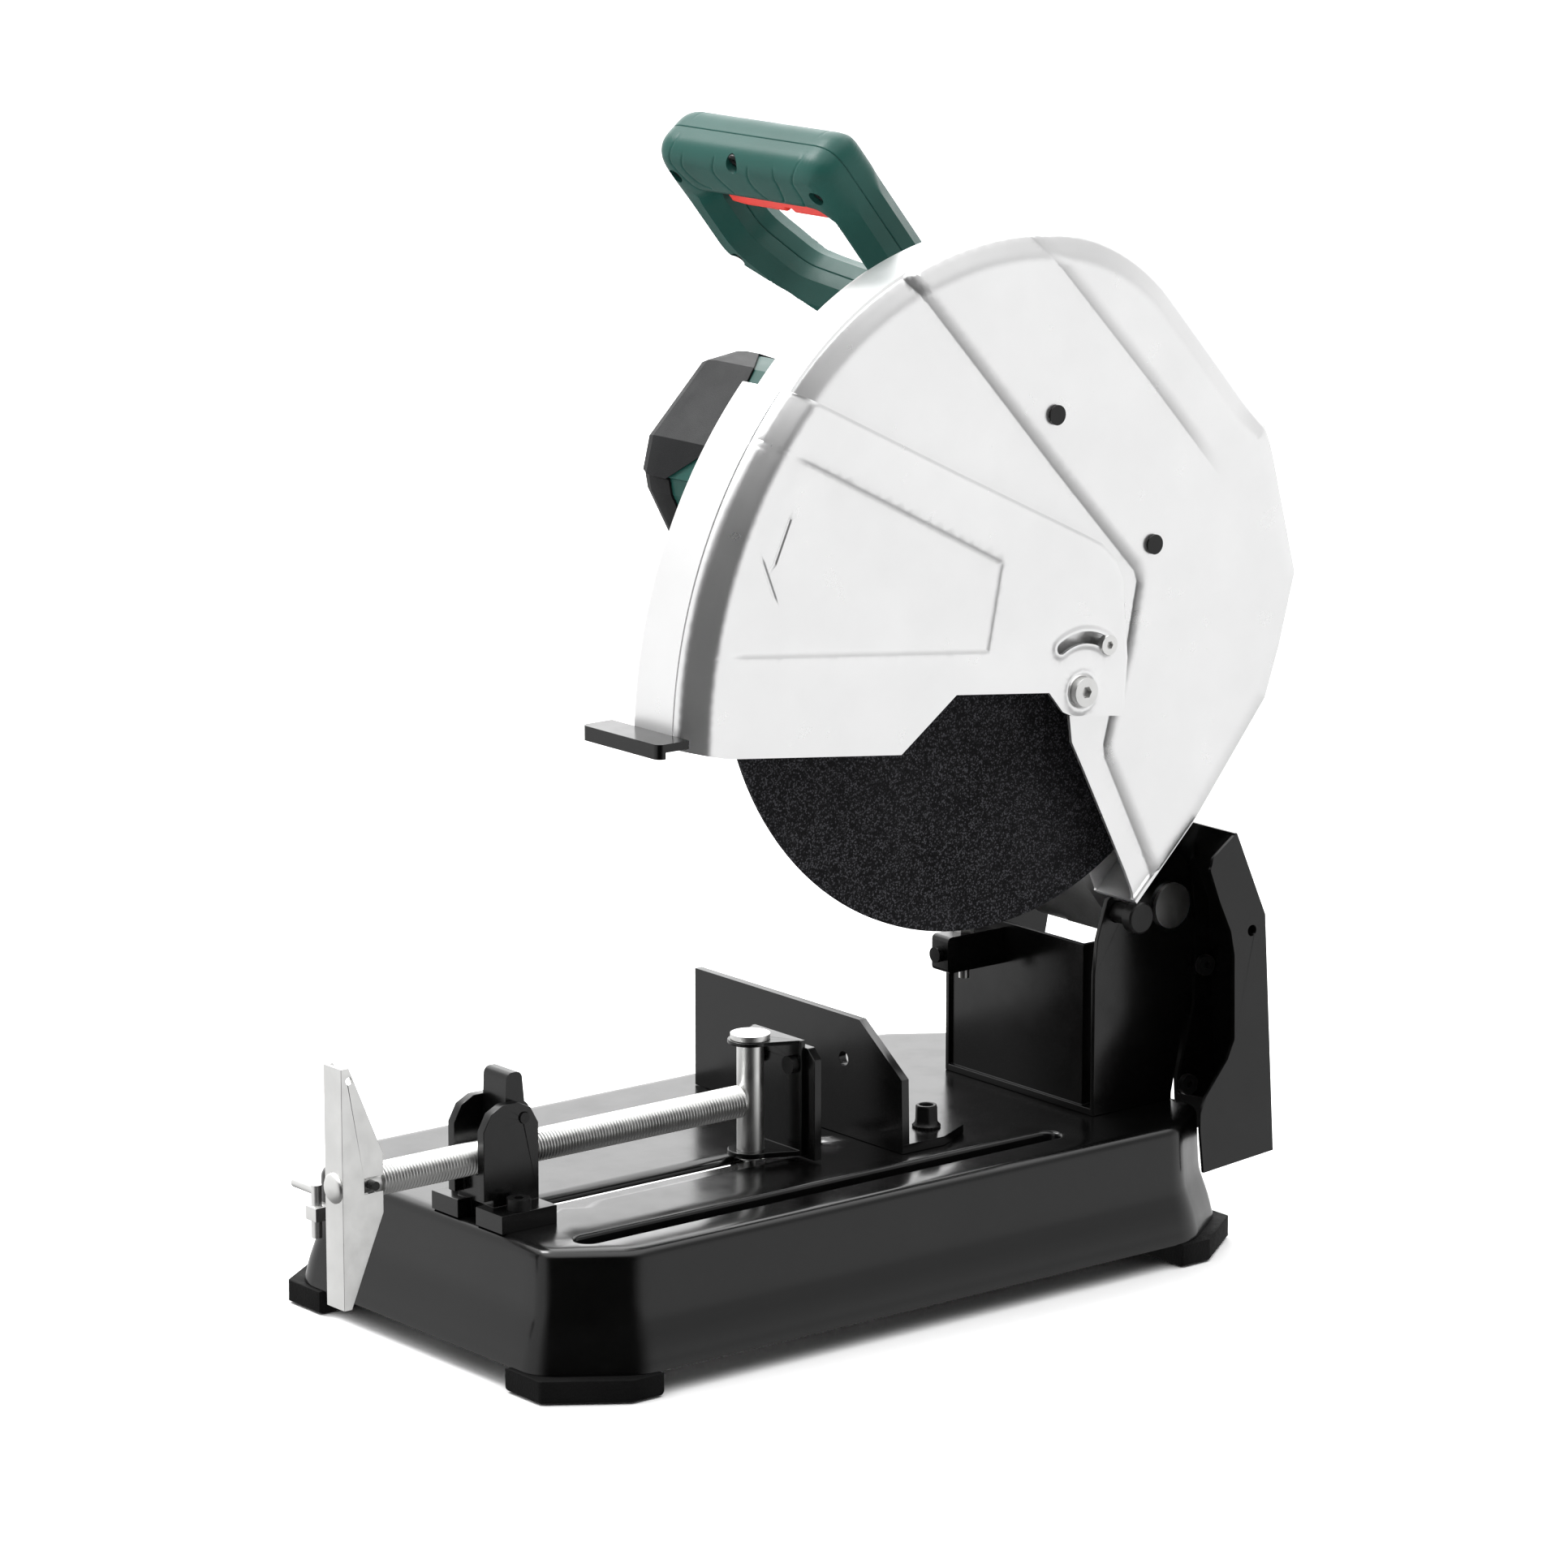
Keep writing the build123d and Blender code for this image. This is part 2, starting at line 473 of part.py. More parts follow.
def jaw_plate():
    z1 = BASE_TOP + 64
    x0, x1 = SCREW_X - JAW_HALF, SCREW_X + JAW_HALF
    outline = [(x0, BASE_TOP + 1.5), (x1, BASE_TOP + 1.5), (x1, z1 - 6), (x1 - 6, z1), (x0 + 6, z1), (x0, z1 - 6)]
    plate = prism_y(outline, JAW_FACE_Y - 5, JAW_FACE_Y)
    for x, z in jaw_bolt_places():
        plate -= rod_y(x, z, 3.0, PIN_Y, JAW_FACE_Y + 5)
    return plate


def jaw_bolts():
    bolts = []
    for x, z in jaw_bolt_places():
        body = rod_y(x, z, 3.0, JAW_FACE_Y - 8, JAW_FACE_Y - 0.5)
        bolts.append(body + rod_y(x, z, 5.0, JAW_FACE_Y - 12, JAW_FACE_Y - 8))
    return bolts


# ---- guards ---------------------------------------------------------------------------------------
def upper_outline(inset):
    """Closed (y, z) outline of the upper guard: a round front and a faceted back."""
    r = UPPER_R - inset
    start, mid, end = (polar(UPPER_Y, DISC_Z, r, a) for a in (188, 134, 80))
    k = inset
    back = disc_points([(114.5 - k, 165 - k), (187.6 - k, 83), (210 - k, -1), (199 - k, -41.5),
                        (189 - k, -70 + k / 2), (137 - k, -133 + k / 2), (95 - k / 3, -174 + k)])
    front = disc_points([(86, -154), (55.5, -94), (46, -76), (44, -60), (28, -28.7)])
    shoulder = (DISC_Y + 84 - k * 0.7, DISC_Z + 188.5 - k * 0.8)
    rim = ThreePointArc(start, mid, end)
    blend = ThreePointArc(end, shoulder, back[0])
    tail = Polyline(back[0], *back[1:], *front, start)
    return make_face([rim, blend, tail])


def guard_shell(outline, inner, x0, x1, bevel_test):
    """Turns an outline into a guard: extruded, bevelled on its free side, then hollowed."""
    x2, x3 = x0 + GUARD_T, x1 - GUARD_T
    outer = bevelled(extrude(Plane.YZ.offset(x0) * outline, x1 - x0), x1, bevel_test)
    core = bevelled(extrude(Plane.YZ.offset(x2) * inner, x3 - x2), x3, bevel_test)
    return outer, core


def bevelled(body, x_face, bevel_test):
    face = [f for f in body.faces() if abs(f.center().X - x_face) < 0.01][0]
    edges = [e for e in face.edges() if bevel_test(e)]
    return chamfer(edges, BEVEL_R, BEVEL_X, reference=face)


def upper_guard():
    def on_rim(edge):
        return edge.center().Z > DISC_Z + 60
    outer, core = guard_shell(upper_outline(0), upper_outline(GUARD_T), UPPER_X0, UPPER_X1, on_rim)
    drop = disc_points([(-197.5, -60), (-197.5, -20), (28, -20), (44, -55), (46, -70), (57, -94),
                        (92, -165), (92, -190), (20, -190)])
    body = outer - core - prism_x(drop, UPPER_X0 + GUARD_T, UPPER_X1 - GUARD_T)
    body -= rod_x(DISC_Y, DISC_Z, 30.0, UPPER_X0 - 5, UPPER_X0 + 5)
    for rib in upper_ribs():
        body += rib
    for y, z in guard_screw_places():
        body -= rod_x(y, z, 2.5, UPPER_X1 - 5, UPPER_X1 + 5)
    body -= rod_x(LOWER_Y, LOWER_Z, 4.0, UPPER_X1 - 5, UPPER_X1 + 5)
    py, pz = polar(LOWER_Y, LOWER_Z, LIMIT_R, LIMIT_DEG)
    return body - rod_x(py, pz, 3.0, UPPER_X1 - 5, UPPER_X1 + 5)


def ribbon(points, half):
    """A constant-width band along an open (y, z) line."""
    left, right = [], []
    for i, (y, z) in enumerate(points):
        a, b = points[max(i - 1, 0)], points[min(i + 1, len(points) - 1)]
        length = math.hypot(b[0] - a[0], b[1] - a[1])
        ny, nz = -(b[1] - a[1]) / length, (b[0] - a[0]) / length
        left.append((y + ny * half, z + nz * half))
        right.append((y - ny * half, z - nz * half))
    return left + right[::-1]


def upper_ribs():
    """Two pressed steps across the side face, as low raised bands."""
    long_rib = disc_points([(-52, 168), (34, 79), (94, 14), (90, -27.5), (76, -66), (73, -85), (97, -140)])
    short_rib = disc_points([(38, 178), (103, 112), (150, 58)])
    return [prism_x(ribbon(line, 3.0), UPPER_X1 - 0.5, UPPER_X1 + 0.9) for line in (long_rib, short_rib)]


def guard_screw_places():
    return disc_points([(29.7, 106.7), (101.2, 27.8)])


def guard_screws():
    screws = []
    for y, z in guard_screw_places():
        head = rod_x(y, z, 5.5, UPPER_X1, UPPER_X1 + 1.1)
        screws.append(head + rod_x(y, z, 2.5, UPPER_X1 - 5, UPPER_X1))
    return screws


def lower_outline(r, spread, grow):
    """Closed (y, z) outline of the lower guard: a rim arc about its pivot, a flap and a hinge eye."""
    top, bottom = 137 - spread, 179.5 + spread
    start, mid, end = (polar(LOWER_Y, LOWER_Z, r, a) for a in (bottom, 158, top))
    g = grow
    flap = disc_points([(-41 - g / 2, 83 + g), (49.4 + g, 39.1 + g), (73 + g, 20 + g), (79.3 + g, -32),
                        (75 + g, -63.6 - g), (39, -59.2 - g), (32, -56 - g), (22, -44 - g),
                        (-43.6, -36.5 - g), (-81.8, -64 - g), (-200, -50 - g)])
    return make_face([ThreePointArc(start, mid, end), Polyline(end, *flap, start)])


def limit_slot():
    """Arc slot about the lower guard's pivot, along which the limit pin travels."""
    half = 3.4
    x0, x1 = LOWER_X1 - 8, LOWER_X1 + 5
    ends = (LIMIT_DEG, LIMIT_DEG + OPEN_DEG)
    ring = ring_x(LOWER_Y, LOWER_Z, LIMIT_R - half, LIMIT_R + half, x0, x1)
    wedge = [(LOWER_Y, LOWER_Z)] + [polar(LOWER_Y, LOWER_Z, 80, a) for a in ends]
    slot = ring & prism_x(wedge, x0, x1)
    for a in ends:
        y, z = polar(LOWER_Y, LOWER_Z, LIMIT_R, a)
        slot += rod_x(y, z, half, x0, x1)
    return slot


def lower_guard():
    def on_rim(edge):
        return edge.geom_type == GeomType.CIRCLE
    outer = extrude(Plane.YZ.offset(LOWER_X0) * lower_outline(LOWER_R, 0, 0), LOWER_X1 - LOWER_X0)
    outer = bevelled(outer, LOWER_X1, on_rim)
    inner_x0 = LOWER_X0 - 20
    core = extrude(Plane.YZ.offset(inner_x0) * lower_outline(LOWER_R - GUARD_T, 8, 14),
                   LOWER_X1 - GUARD_T - inner_x0)
    core = bevelled(core, LOWER_X1 - GUARD_T, on_rim)
    body = outer - core - limit_slot()
    return body - rod_x(LOWER_Y, LOWER_Z, 4.0 + RUN, LOWER_X1 - 8, LOWER_X1 + 5)


def guard_lever():
    """The plate across the front of the lower guard that lifts it."""
    z1 = DISC_Z - 36.5
    tongue = block(DISC_X - 35, DISC_X + 31, LOWER_Y - LOWER_R - 20, LOWER_Y - LOWER_R + 1.5, z1 - 4.5, z1)
    lip = block(DISC_X - 35, DISC_X + 31, LOWER_Y - LOWER_R - 20, LOWER_Y - LOWER_R - 15, z1 - 8, z1)
    plate = fillet((tongue + lip).edges().filter_by(Axis.Z).group_by(Axis.Y)[0], 4)
    return plate - rod_x(LOWER_Y, LOWER_Z, LOWER_R, DISC_X - 60, DISC_X + 60)


def guard_pivot_bolt():
    head = rod_x(LOWER_Y, LOWER_Z, 8.0, LOWER_X1 + 0.3, LOWER_X1 + 6)
    head -= hex_x(LOWER_Y, LOWER_Z, 6, LOWER_X1 + 3, LOWER_X1 + 8)
    spacer = rod_x(LOWER_Y, LOWER_Z, 9.0, UPPER_X1, LOWER_X1 - GUARD_T - 0.3)
    return head + spacer + rod_x(LOWER_Y, LOWER_Z, 4.0, UPPER_X1 - 8, LOWER_X1 + 0.3)


def limit_pin():
    y, z = polar(LOWER_Y, LOWER_Z, LIMIT_R, LIMIT_DEG)
    head = rod_x(y, z, 5.5, LOWER_X1 + 0.3, LOWER_X1 + 4) - hex_x(y, z, 4, LOWER_X1 + 2, LOWER_X1 + 6)
    return head + rod_x(y, z, 3.0, UPPER_X1 - 6, LOWER_X1 + 0.3)


# ---- spindle and disc -----------------------------------------------------------------------------
SPINDLE_R = 8.5


def gear(teeth, cy, cz, x0, x1, bore, turn):
    """A spur gear with straight-flanked teeth, thinned so that the pair never binds."""
    pitch_r = GEAR_MODULE * teeth / 2
    root, tip = pitch_r - 1.3 * GEAR_MODULE, pitch_r + 0.75 * GEAR_MODULE
    body = rod_x(cy, cz, root, x0, x1)
    step = 2 * math.pi / teeth
    flanks = ((root, 0.30), (pitch_r, 0.19), (tip, 0.09), (tip, -0.09), (pitch_r, -0.19), (root, -0.30))
    points = []
    for i in range(teeth):
        a = i * step + turn
        for r, w in flanks:
            points.append((cy + r * math.cos(a - w * step), cz + r * math.sin(a - w * step)))
    body += prism_x(points, x0, x1)
    return body - rod_x(cy, cz, bore, x0 - 1, x1 + 1)


def spindle():
    body = rod_x(DISC_Y, DISC_Z, SPINDLE_R, CASE_X0 + 2, DISC_X - 8)
    body += rod_x(DISC_Y, DISC_Z, 12.7, DISC_X - 8, DISC_X - 0.2)
    body += rod_x(DISC_Y, DISC_Z, 11.0, DISC_X - 18, DISC_X - 8)
    return body - rod_x(DISC_Y, DISC_Z, 5.0, DISC_X - 30, DISC_X + 5)


def spindle_gear():
    body = gear(GEAR_TEETH, DISC_Y, DISC_Z, DISC_X - 49, DISC_X - 38, SPINDLE_R, 0.0)
    hub = ring_x(DISC_Y, DISC_Z, SPINDLE_R, 15, DISC_X - 38, DISC_X - 35)
    for i in range(6):
        y, z = polar(DISC_Y, DISC_Z, 28, 60 * i)
        body -= rod_x(y, z, 6, DISC_X - 52, DISC_X - 36)
    return body + hub


def inner_flange():
    body = rod_x(DISC_Y, DISC_Z, FLANGE_R, DISC_X - DISC_T - 5, DISC_X - DISC_T)
    body -= rod_x(DISC_Y, DISC_Z, FLANGE_R - 4, DISC_X - DISC_T - 0.8, DISC_X)
    return body - rod_x(DISC_Y, DISC_Z, 12.7, DISC_X - 20, DISC_X + 5)


def outer_flange():
    body = rod_x(DISC_Y, DISC_Z, FLANGE_R, DISC_X, DISC_X + 5)
    body -= rod_x(DISC_Y, DISC_Z, FLANGE_R - 4, DISC_X - 1, DISC_X + 0.8)
    body = chamfer(body.edges().group_by(Axis.X)[-1], 1.2)
    return body - rod_x(DISC_Y, DISC_Z, 5.0, DISC_X - 5, DISC_X + 9)


def arbor_bolt():
    washer = rod_x(DISC_Y, DISC_Z, 12, DISC_X + 5, DISC_X + 7)
    head = hex_x(DISC_Y, DISC_Z, 17, DISC_X + 7, DISC_X + 15)
    return washer + head + rod_x(DISC_Y, DISC_Z, 5.0, DISC_X - 24, DISC_X + 5)


def abrasive_disc():
    body = rod_x(DISC_Y, DISC_Z, DISC_R, DISC_X - DISC_T, DISC_X)
    return body - rod_x(DISC_Y, DISC_Z, 12.7, DISC_X - 10, DISC_X + 5)


def ring_x(cy, cz, r_in, r_out, x0, x1):
    return rod_x(cy, cz, r_out, x0, x1) - rod_x(cy, cz, r_in, x0 - 1, x1 + 1)


def spindle_bearings():
    return [ring_x(DISC_Y, DISC_Z, SPINDLE_R + RUN, 20, DISC_X - 33, DISC_X - 21),
            ring_x(DISC_Y, DISC_Z, SPINDLE_R + RUN, 15, DISC_X - 60, DISC_X - 51)]


# ---- motor ----------------------------------------------------------------------------------------
ARM_R = 6.0


def armature_shaft():
    body = rod_x(MOTOR_Y, MOTOR_Z, ARM_R, DISC_X - 203, DISC_X - 36)
    turn = math.atan2(DISC_Z - MOTOR_Z, DISC_Y - MOTOR_Y)
    mesh = math.atan2(MOTOR_Z - DISC_Z, MOTOR_Y - DISC_Y)
    gear_step, pinion_step = 2 * math.pi / GEAR_TEETH, 2 * math.pi / PINION_TEETH
    phase = (mesh % gear_step) / gear_step
    offset = turn + pinion_step / 2 + phase * pinion_step
    return body + gear(PINION_TEETH, MOTOR_Y, MOTOR_Z, DISC_X - 49.5, DISC_X - 37.5, ARM_R - 1, offset)


def armature_core():
    return ring_x(MOTOR_Y, MOTOR_Z, ARM_R, 26, DISC_X - 150, DISC_X - 95)


def commutator():
    body = ring_x(MOTOR_Y, MOTOR_Z, ARM_R, 16, DISC_X - 180, DISC_X - 158)
    for i in range(12):
        a = math.radians(30 * i)
        y, z = MOTOR_Y + 16 * math.cos(a), MOTOR_Z + 16 * math.sin(a)
        body -= rod_x(y, z, 0.5, DISC_X - 182, DISC_X - 156)
    return body


def cooling_fan():
    body = ring_x(MOTOR_Y, MOTOR_Z, ARM_R, 44, DISC_X - 80, DISC_X - 77)
    body += ring_x(MOTOR_Y, MOTOR_Z, ARM_R, 14, DISC_X - 88, DISC_X - 80)
    blade = block(DISC_X - 90, DISC_X - 80, MOTOR_Y - 1, MOTOR_Y + 1, MOTOR_Z + 18, MOTOR_Z + 43)
    for i in range(9):
        turn = Pos(0, MOTOR_Y, MOTOR_Z) * Rot(40 * i, 0, 0) * Pos(0, -MOTOR_Y, -MOTOR_Z)
        body += turn * blade
    return body


def stator():
    body = ring_x(MOTOR_Y, MOTOR_Z, 27, MOTOR_R - 4, DISC_X - 150, DISC_X - 95)
    for sz in (-1, 1):
        z = MOTOR_Z + sz * 36
        body -= block(DISC_X - 160, DISC_X - 90, MOTOR_Y - 24, MOTOR_Y + 24, z - 5, z + 5)
    return body


def brush_holders():
    bore = rod_x(MOTOR_Y, MOTOR_Z, MOTOR_R - 4, DISC_X - 176, DISC_X - 162)
    inner, outer = 17.0, MOTOR_R
    return [bore & block(DISC_X - 176, DISC_X - 162, MOTOR_Y + a, MOTOR_Y + b, MOTOR_Z - 7, MOTOR_Z + 7)
            for a, b in ((-outer, -inner), (inner, outer))]


def armature_bearings():
    return [ring_x(MOTOR_Y, MOTOR_Z, ARM_R + RUN, 16, DISC_X - 70, DISC_X - 59),
            ring_x(MOTOR_Y, MOTOR_Z, ARM_R + RUN, 11, DISC_X - 201, DISC_X - 192)]


def motor_housing():
    """The round field case between the gear case and the end cap, with a rear bearing wall."""
    body = ring_x(MOTOR_Y, MOTOR_Z, MOTOR_R - 4, MOTOR_R, MOTOR_X0, CASE_X0)
    body += ring_x(MOTOR_Y, MOTOR_Z, 11, MOTOR_R, MOTOR_X0 - 5, MOTOR_X0)
    body += ring_x(MOTOR_Y, MOTOR_Z, 11, 15, DISC_X - 201, MOTOR_X0 - 5)
    for a in (35, 145, 215, 325):
        y, z = polar(MOTOR_Y, MOTOR_Z, 33, a)
        body -= rod_x(y, z, 8, MOTOR_X0 - 8, MOTOR_X0 + 2)
    for a in (45, 135, 225, 315):
        y, z = polar(MOTOR_Y, MOTOR_Z, MOTOR_R, a)
        boss = rod_x(y, z, 6, MOTOR_X0 - 5, CASE_X0)
        body += boss - rod_x(MOTOR_Y, MOTOR_Z, MOTOR_R - 4, MOTOR_X0 - 20, CASE_X0 + 1)
        body -= rod_x(y, z, 2.5, MOTOR_X0 - 6, MOTOR_X0 + 40)
    return body


def cap_outline(inset):
    r = 62.0 - inset
    return [polar(MOTOR_Y, MOTOR_Z, r, a) for a in (22, 68, 112, 158, 202, 248, 292, 338)]


def motor_end_cap():
    """A faceted cap with cooling slots."""
    x0, x1 = CAP_X0, MOTOR_X0 - 5
    outer = chamfer(prism_x(cap_outline(0), x0, x1).faces().sort_by(Axis.X)[0].edges(), 6)
    body = outer - prism_x(cap_outline(3.5), x0 + 3, x1 + 1)
    for i in range(5):
        z = MOTOR_Z - 26 + 13 * i
        body -= block(x0 - 2, x0 + 4, MOTOR_Y - 26, MOTOR_Y + 26, z - 2.2, z + 2.2)
    return body


def motor_screws():
    screws = []
    for a in (45, 135, 225, 315):
        y, z = polar(MOTOR_Y, MOTOR_Z, MOTOR_R, a)
        screws.append(rod_x(y, z, 2.5, MOTOR_X0 - 5, MOTOR_X0 + 30))
    return screws


# ---- gear case with arm ---------------------------------------------------------------------------
BARREL_X0, BARREL_X1 = CHEEK_X0 + 30.0, CHEEK_X1 - CHEEK_T - 3.5
BARREL_R = 24.0
WEB_X0, WEB_X1 = DISC_X - 75.0, DISC_X - 30.0


def gear_case():
    """One casting: the gear case, the arm down to the hinge barrel and the pad for the handle."""
    body = rod_x(DISC_Y, DISC_Z, 56, CASE_X0, CASE_X1)
    body += rod_x(MOTOR_Y, MOTOR_Z, 56, CASE_X0, CASE_X1 - 8)
    body += prism_x(disc_points([(-56, 0), (56, 0), (47, 54.26), (-65, 54.26)]), CASE_X0, CASE_X1 - 8)
    arm = disc_points([(30, 62), (62, 40), (168, -168), (151, -214), (130, -208), (8, -55), (-10, -40)])
    body += prism_x(arm, WEB_X0, WEB_X1)
    body += rod_x(HINGE_Y, HINGE_Z, BARREL_R, BARREL_X0, BARREL_X1)
    body += handle_pad() + stop_pad()
    body -= rod_x(HINGE_Y, HINGE_Z, 13.0, BARREL_X0 - 1, BARREL_X1 + 1)
    body -= rod_x(DISC_Y, DISC_Z, 49.5, DISC_X - 51, DISC_X - 34)
    body -= rod_x(MOTOR_Y, MOTOR_Z, 16, DISC_X - 59, DISC_X - 34)
    body -= rod_x(DISC_Y, DISC_Z, 20, DISC_X - 35, DISC_X - 21)
    body -= rod_x(DISC_Y, DISC_Z, 12.5, DISC_X - 24, DISC_X)
    body -= rod_x(DISC_Y, DISC_Z, 15, DISC_X - 60, DISC_X - 50)
    body -= rod_x(MOTOR_Y, MOTOR_Z, 16, DISC_X - 76, DISC_X - 58)
    body -= rod_x(MOTOR_Y, MOTOR_Z, MOTOR_R + 7, WEB_X0 - 1, CASE_X0)
    body -= rod_y(BUTTON_X, BUTTON_Z, 4.2, DISC_Y - 70, DISC_Y - 30)
    return body


def stop_pad():
    """The pad on the arm that lands on the depth stop bolt at the end of the stroke."""
    back = math.radians(-PLUNGE_DEG)
    dy, dz = STOP_BOLT_Y - HINGE_Y, STOP_BOLT_TOP + STOP_GAP - HINGE_Z
    y = HINGE_Y + dy * math.cos(back) - dz * math.sin(back)
    z = HINGE_Z + dy * math.sin(back) + dz * math.cos(back)
    pad = block(STOP_X - 8, WEB_X0 + 1, -12, 12, 0, 14)
    return Pos(0, y, z) * Rot(-PLUNGE_DEG, 0, 0) * pad


def handle_pad():
    """The wedge behind the motor that the handle's foot is screwed to."""
    outline = [(20, 95), (38, 75), (62, 55), (66, 20), (96, 60), (74, 98), (40, 128), (18, 128)]
    pad = prism_x(disc_points(outline), DISC_X - 90, DISC_X - 46)
    return pad - rod_x(MOTOR_Y, MOTOR_Z, MOTOR_R + 7, DISC_X - 120, CASE_X0) - handle_body(1.0)


def hinge_bushes():
    return [ring_x(HINGE_Y, HINGE_Z, HINGE_SHAFT_R + RUN, 13, BARREL_X0, BARREL_X0 + 22),
            ring_x(HINGE_Y, HINGE_Z, HINGE_SHAFT_R + RUN, 13, BARREL_X1 - 22, BARREL_X1)]


def torsion_spring():
    """The coil round the shaft that lifts the head."""
    coils, wire, r = 4, 2.2, 17.0
    x0 = CHEEK_X0 + CHEEK_T + 3.5
    body = None
    for i in range(coils):
        x = x0 + wire + i * (2 * wire + 0.6)
        turn = Pos(x, HINGE_Y, HINGE_Z) * Rot(0, 90, 0) * Torus(r, wire)
        body = turn if body is None else body + turn
    tie = rod_x(HINGE_Y + r, HINGE_Z, 1.6, x0 + wire, BARREL_X0)
    return body + tie


BUTTON_X, BUTTON_Z = DISC_X - 43.0, DISC_Z - 8.0


def lock_button():
    """Spindle lock: pressed in, its stem reaches the gear."""
    cap = rod_y(BUTTON_X, BUTTON_Z, 8, DISC_Y - 66, DISC_Y - 59)
    cap = chamfer(cap.edges().group_by(Axis.Y)[0], 1)
    return cap + rod_y(BUTTON_X, BUTTON_Z, 4.0, DISC_Y - 59, DISC_Y - 50.5)


# ---- handle ---------------------------------------------------------------------------------------
def handle_plane(offset):
    """Plane of the D-handle: local x is the machine's X, local y runs down and back."""
    tilt = math.radians(GRIP_TILT)
    normal = (0, math.sin(tilt), math.cos(tilt))
    origin = (0, GRIP_Y + normal[1] * offset, GRIP_Z + normal[2] * offset)
    return Plane(origin=origin, x_dir=(1, 0, 0), z_dir=normal)


def handle_loop():
    """Outer outline of the handle in its own plane, as (x, distance below the grip)."""
    x0, x1 = GRIP_X0, GRIP_X1
    return [(x0 + 8, -19), (x1 - 6, -19), (x1, -12), (x1, 158), (x1 - 44, 158), (x1 - 62, 136),
            (x0 + 55, 106), (x0 + 8, 74), (x0, 62), (x0, -8)]


def handle_hole():
    x0, x1 = GRIP_X0, GRIP_X1
    return [(x0 + 27, 19), (x1 - 20, 19), (x1 - 20, 92), (x1 - 62, 90), (x0 + 48, 82), (x0 + 27, 56)]


def handle_body(grow):
    depth = GRIP_HALF + grow
    solid = extrude(handle_plane(-depth) * face_of(handle_loop()), 2 * depth)
    hole = extrude(handle_plane(-depth - 1) * face_of(handle_hole()), 2 * depth + 2)
    return solid - hole


def handle_cavity():
    """Room inside the grip for the switch and the trigger's stem."""
    room = [(GRIP_X0 + 20, -9), (GRIP_X1 - 21, -9), (GRIP_X1 - 21, 25), (GRIP_X0 + 20, 25)]
    return extrude(handle_plane(-8.5) * face_of(room), 17)


def handle_half(front):
    """One of the two handle shells, with rounded outer edges."""
    side = -1 if front else 1
    shell = extrude(handle_plane(0) * face_of(handle_loop()), side * GRIP_HALF)
    shell -= extrude(handle_plane(-side) * face_of(handle_hole()), side * (GRIP_HALF + 3))
    away = handle_plane(side * GRIP_HALF)
    rim = [e for e in shell.edges() if abs(away.to_local_coords(e.center()).Z) < 0.01]
    shell = fillet(rim, 7)
    shell -= handle_cavity()
    for x, s in handle_screw_places():
        shell -= extrude(handle_plane(-GRIP_HALF - 2) * Pos(x, s) * Circle(2.5), 2 * GRIP_HALF + 4)
        if front:
            shell -= extrude(handle_plane(-GRIP_HALF - 2) * Pos(x, s) * Circle(4.5), 7)
    return shell


def handle_screw_places():
    x0, x1 = GRIP_X0, GRIP_X1
    return [(x0 + 13, 2), (x0 + 72, -13.5), (x1 - 13, 2), (x0 + 16, 66), (x1 - 14, 120)]


def handle_screws():
    screws = []
    for x, s in handle_screw_places():
        head = extrude(handle_plane(-GRIP_HALF + 5) * Pos(x, s) * Circle(4.3), -2.5)
        screws.append(head + extrude(handle_plane(-GRIP_HALF + 5) * Pos(x, s) * Circle(2.5), 20))
    return screws


TRIGGER_TRAVEL = 5.0


def trigger():
    """The long red bar under the grip, with its stem in the grip."""
    x0, x1 = GRIP_X0 + 29, GRIP_X1 - 23
    bar = [(x0, 15), (x1, 15), (x1, 27), (x1 - 14, 31), (x0 + 16, 31), (x0, 27)]
    return extrude(handle_plane(-7.8) * face_of(bar), 15.6)


def switch_body():
    room = [(GRIP_X0 + 50, -8.9), (GRIP_X0 + 95, -8.9), (GRIP_X0 + 95, 9), (GRIP_X0 + 50, 9)]
    return extrude(handle_plane(-8.4) * face_of(room), 16.8)


def cord_gland():
    """Rubber collar on the back of the handle's foot, where a supply cord enters."""
    seat = handle_plane(GRIP_HALF)
    at = Pos(GRIP_X1 - 22, 138)
    collar = extrude(seat * at * Circle(9), 4) + extrude(seat * at * Circle(7), 12)
    return collar - extrude(seat * at * Circle(3), 16)


# ---- output ---------------------------------------------------------------------------------------
def save(name, shapes):
    group = shapes if isinstance(shapes, list) else [shapes]
    solids = [s for shape in group for s in shape.solids()]
    result = solids[0] if len(solids) == 1 else Compound(children=solids)
    export_step(result, f"parts/{name}.step")


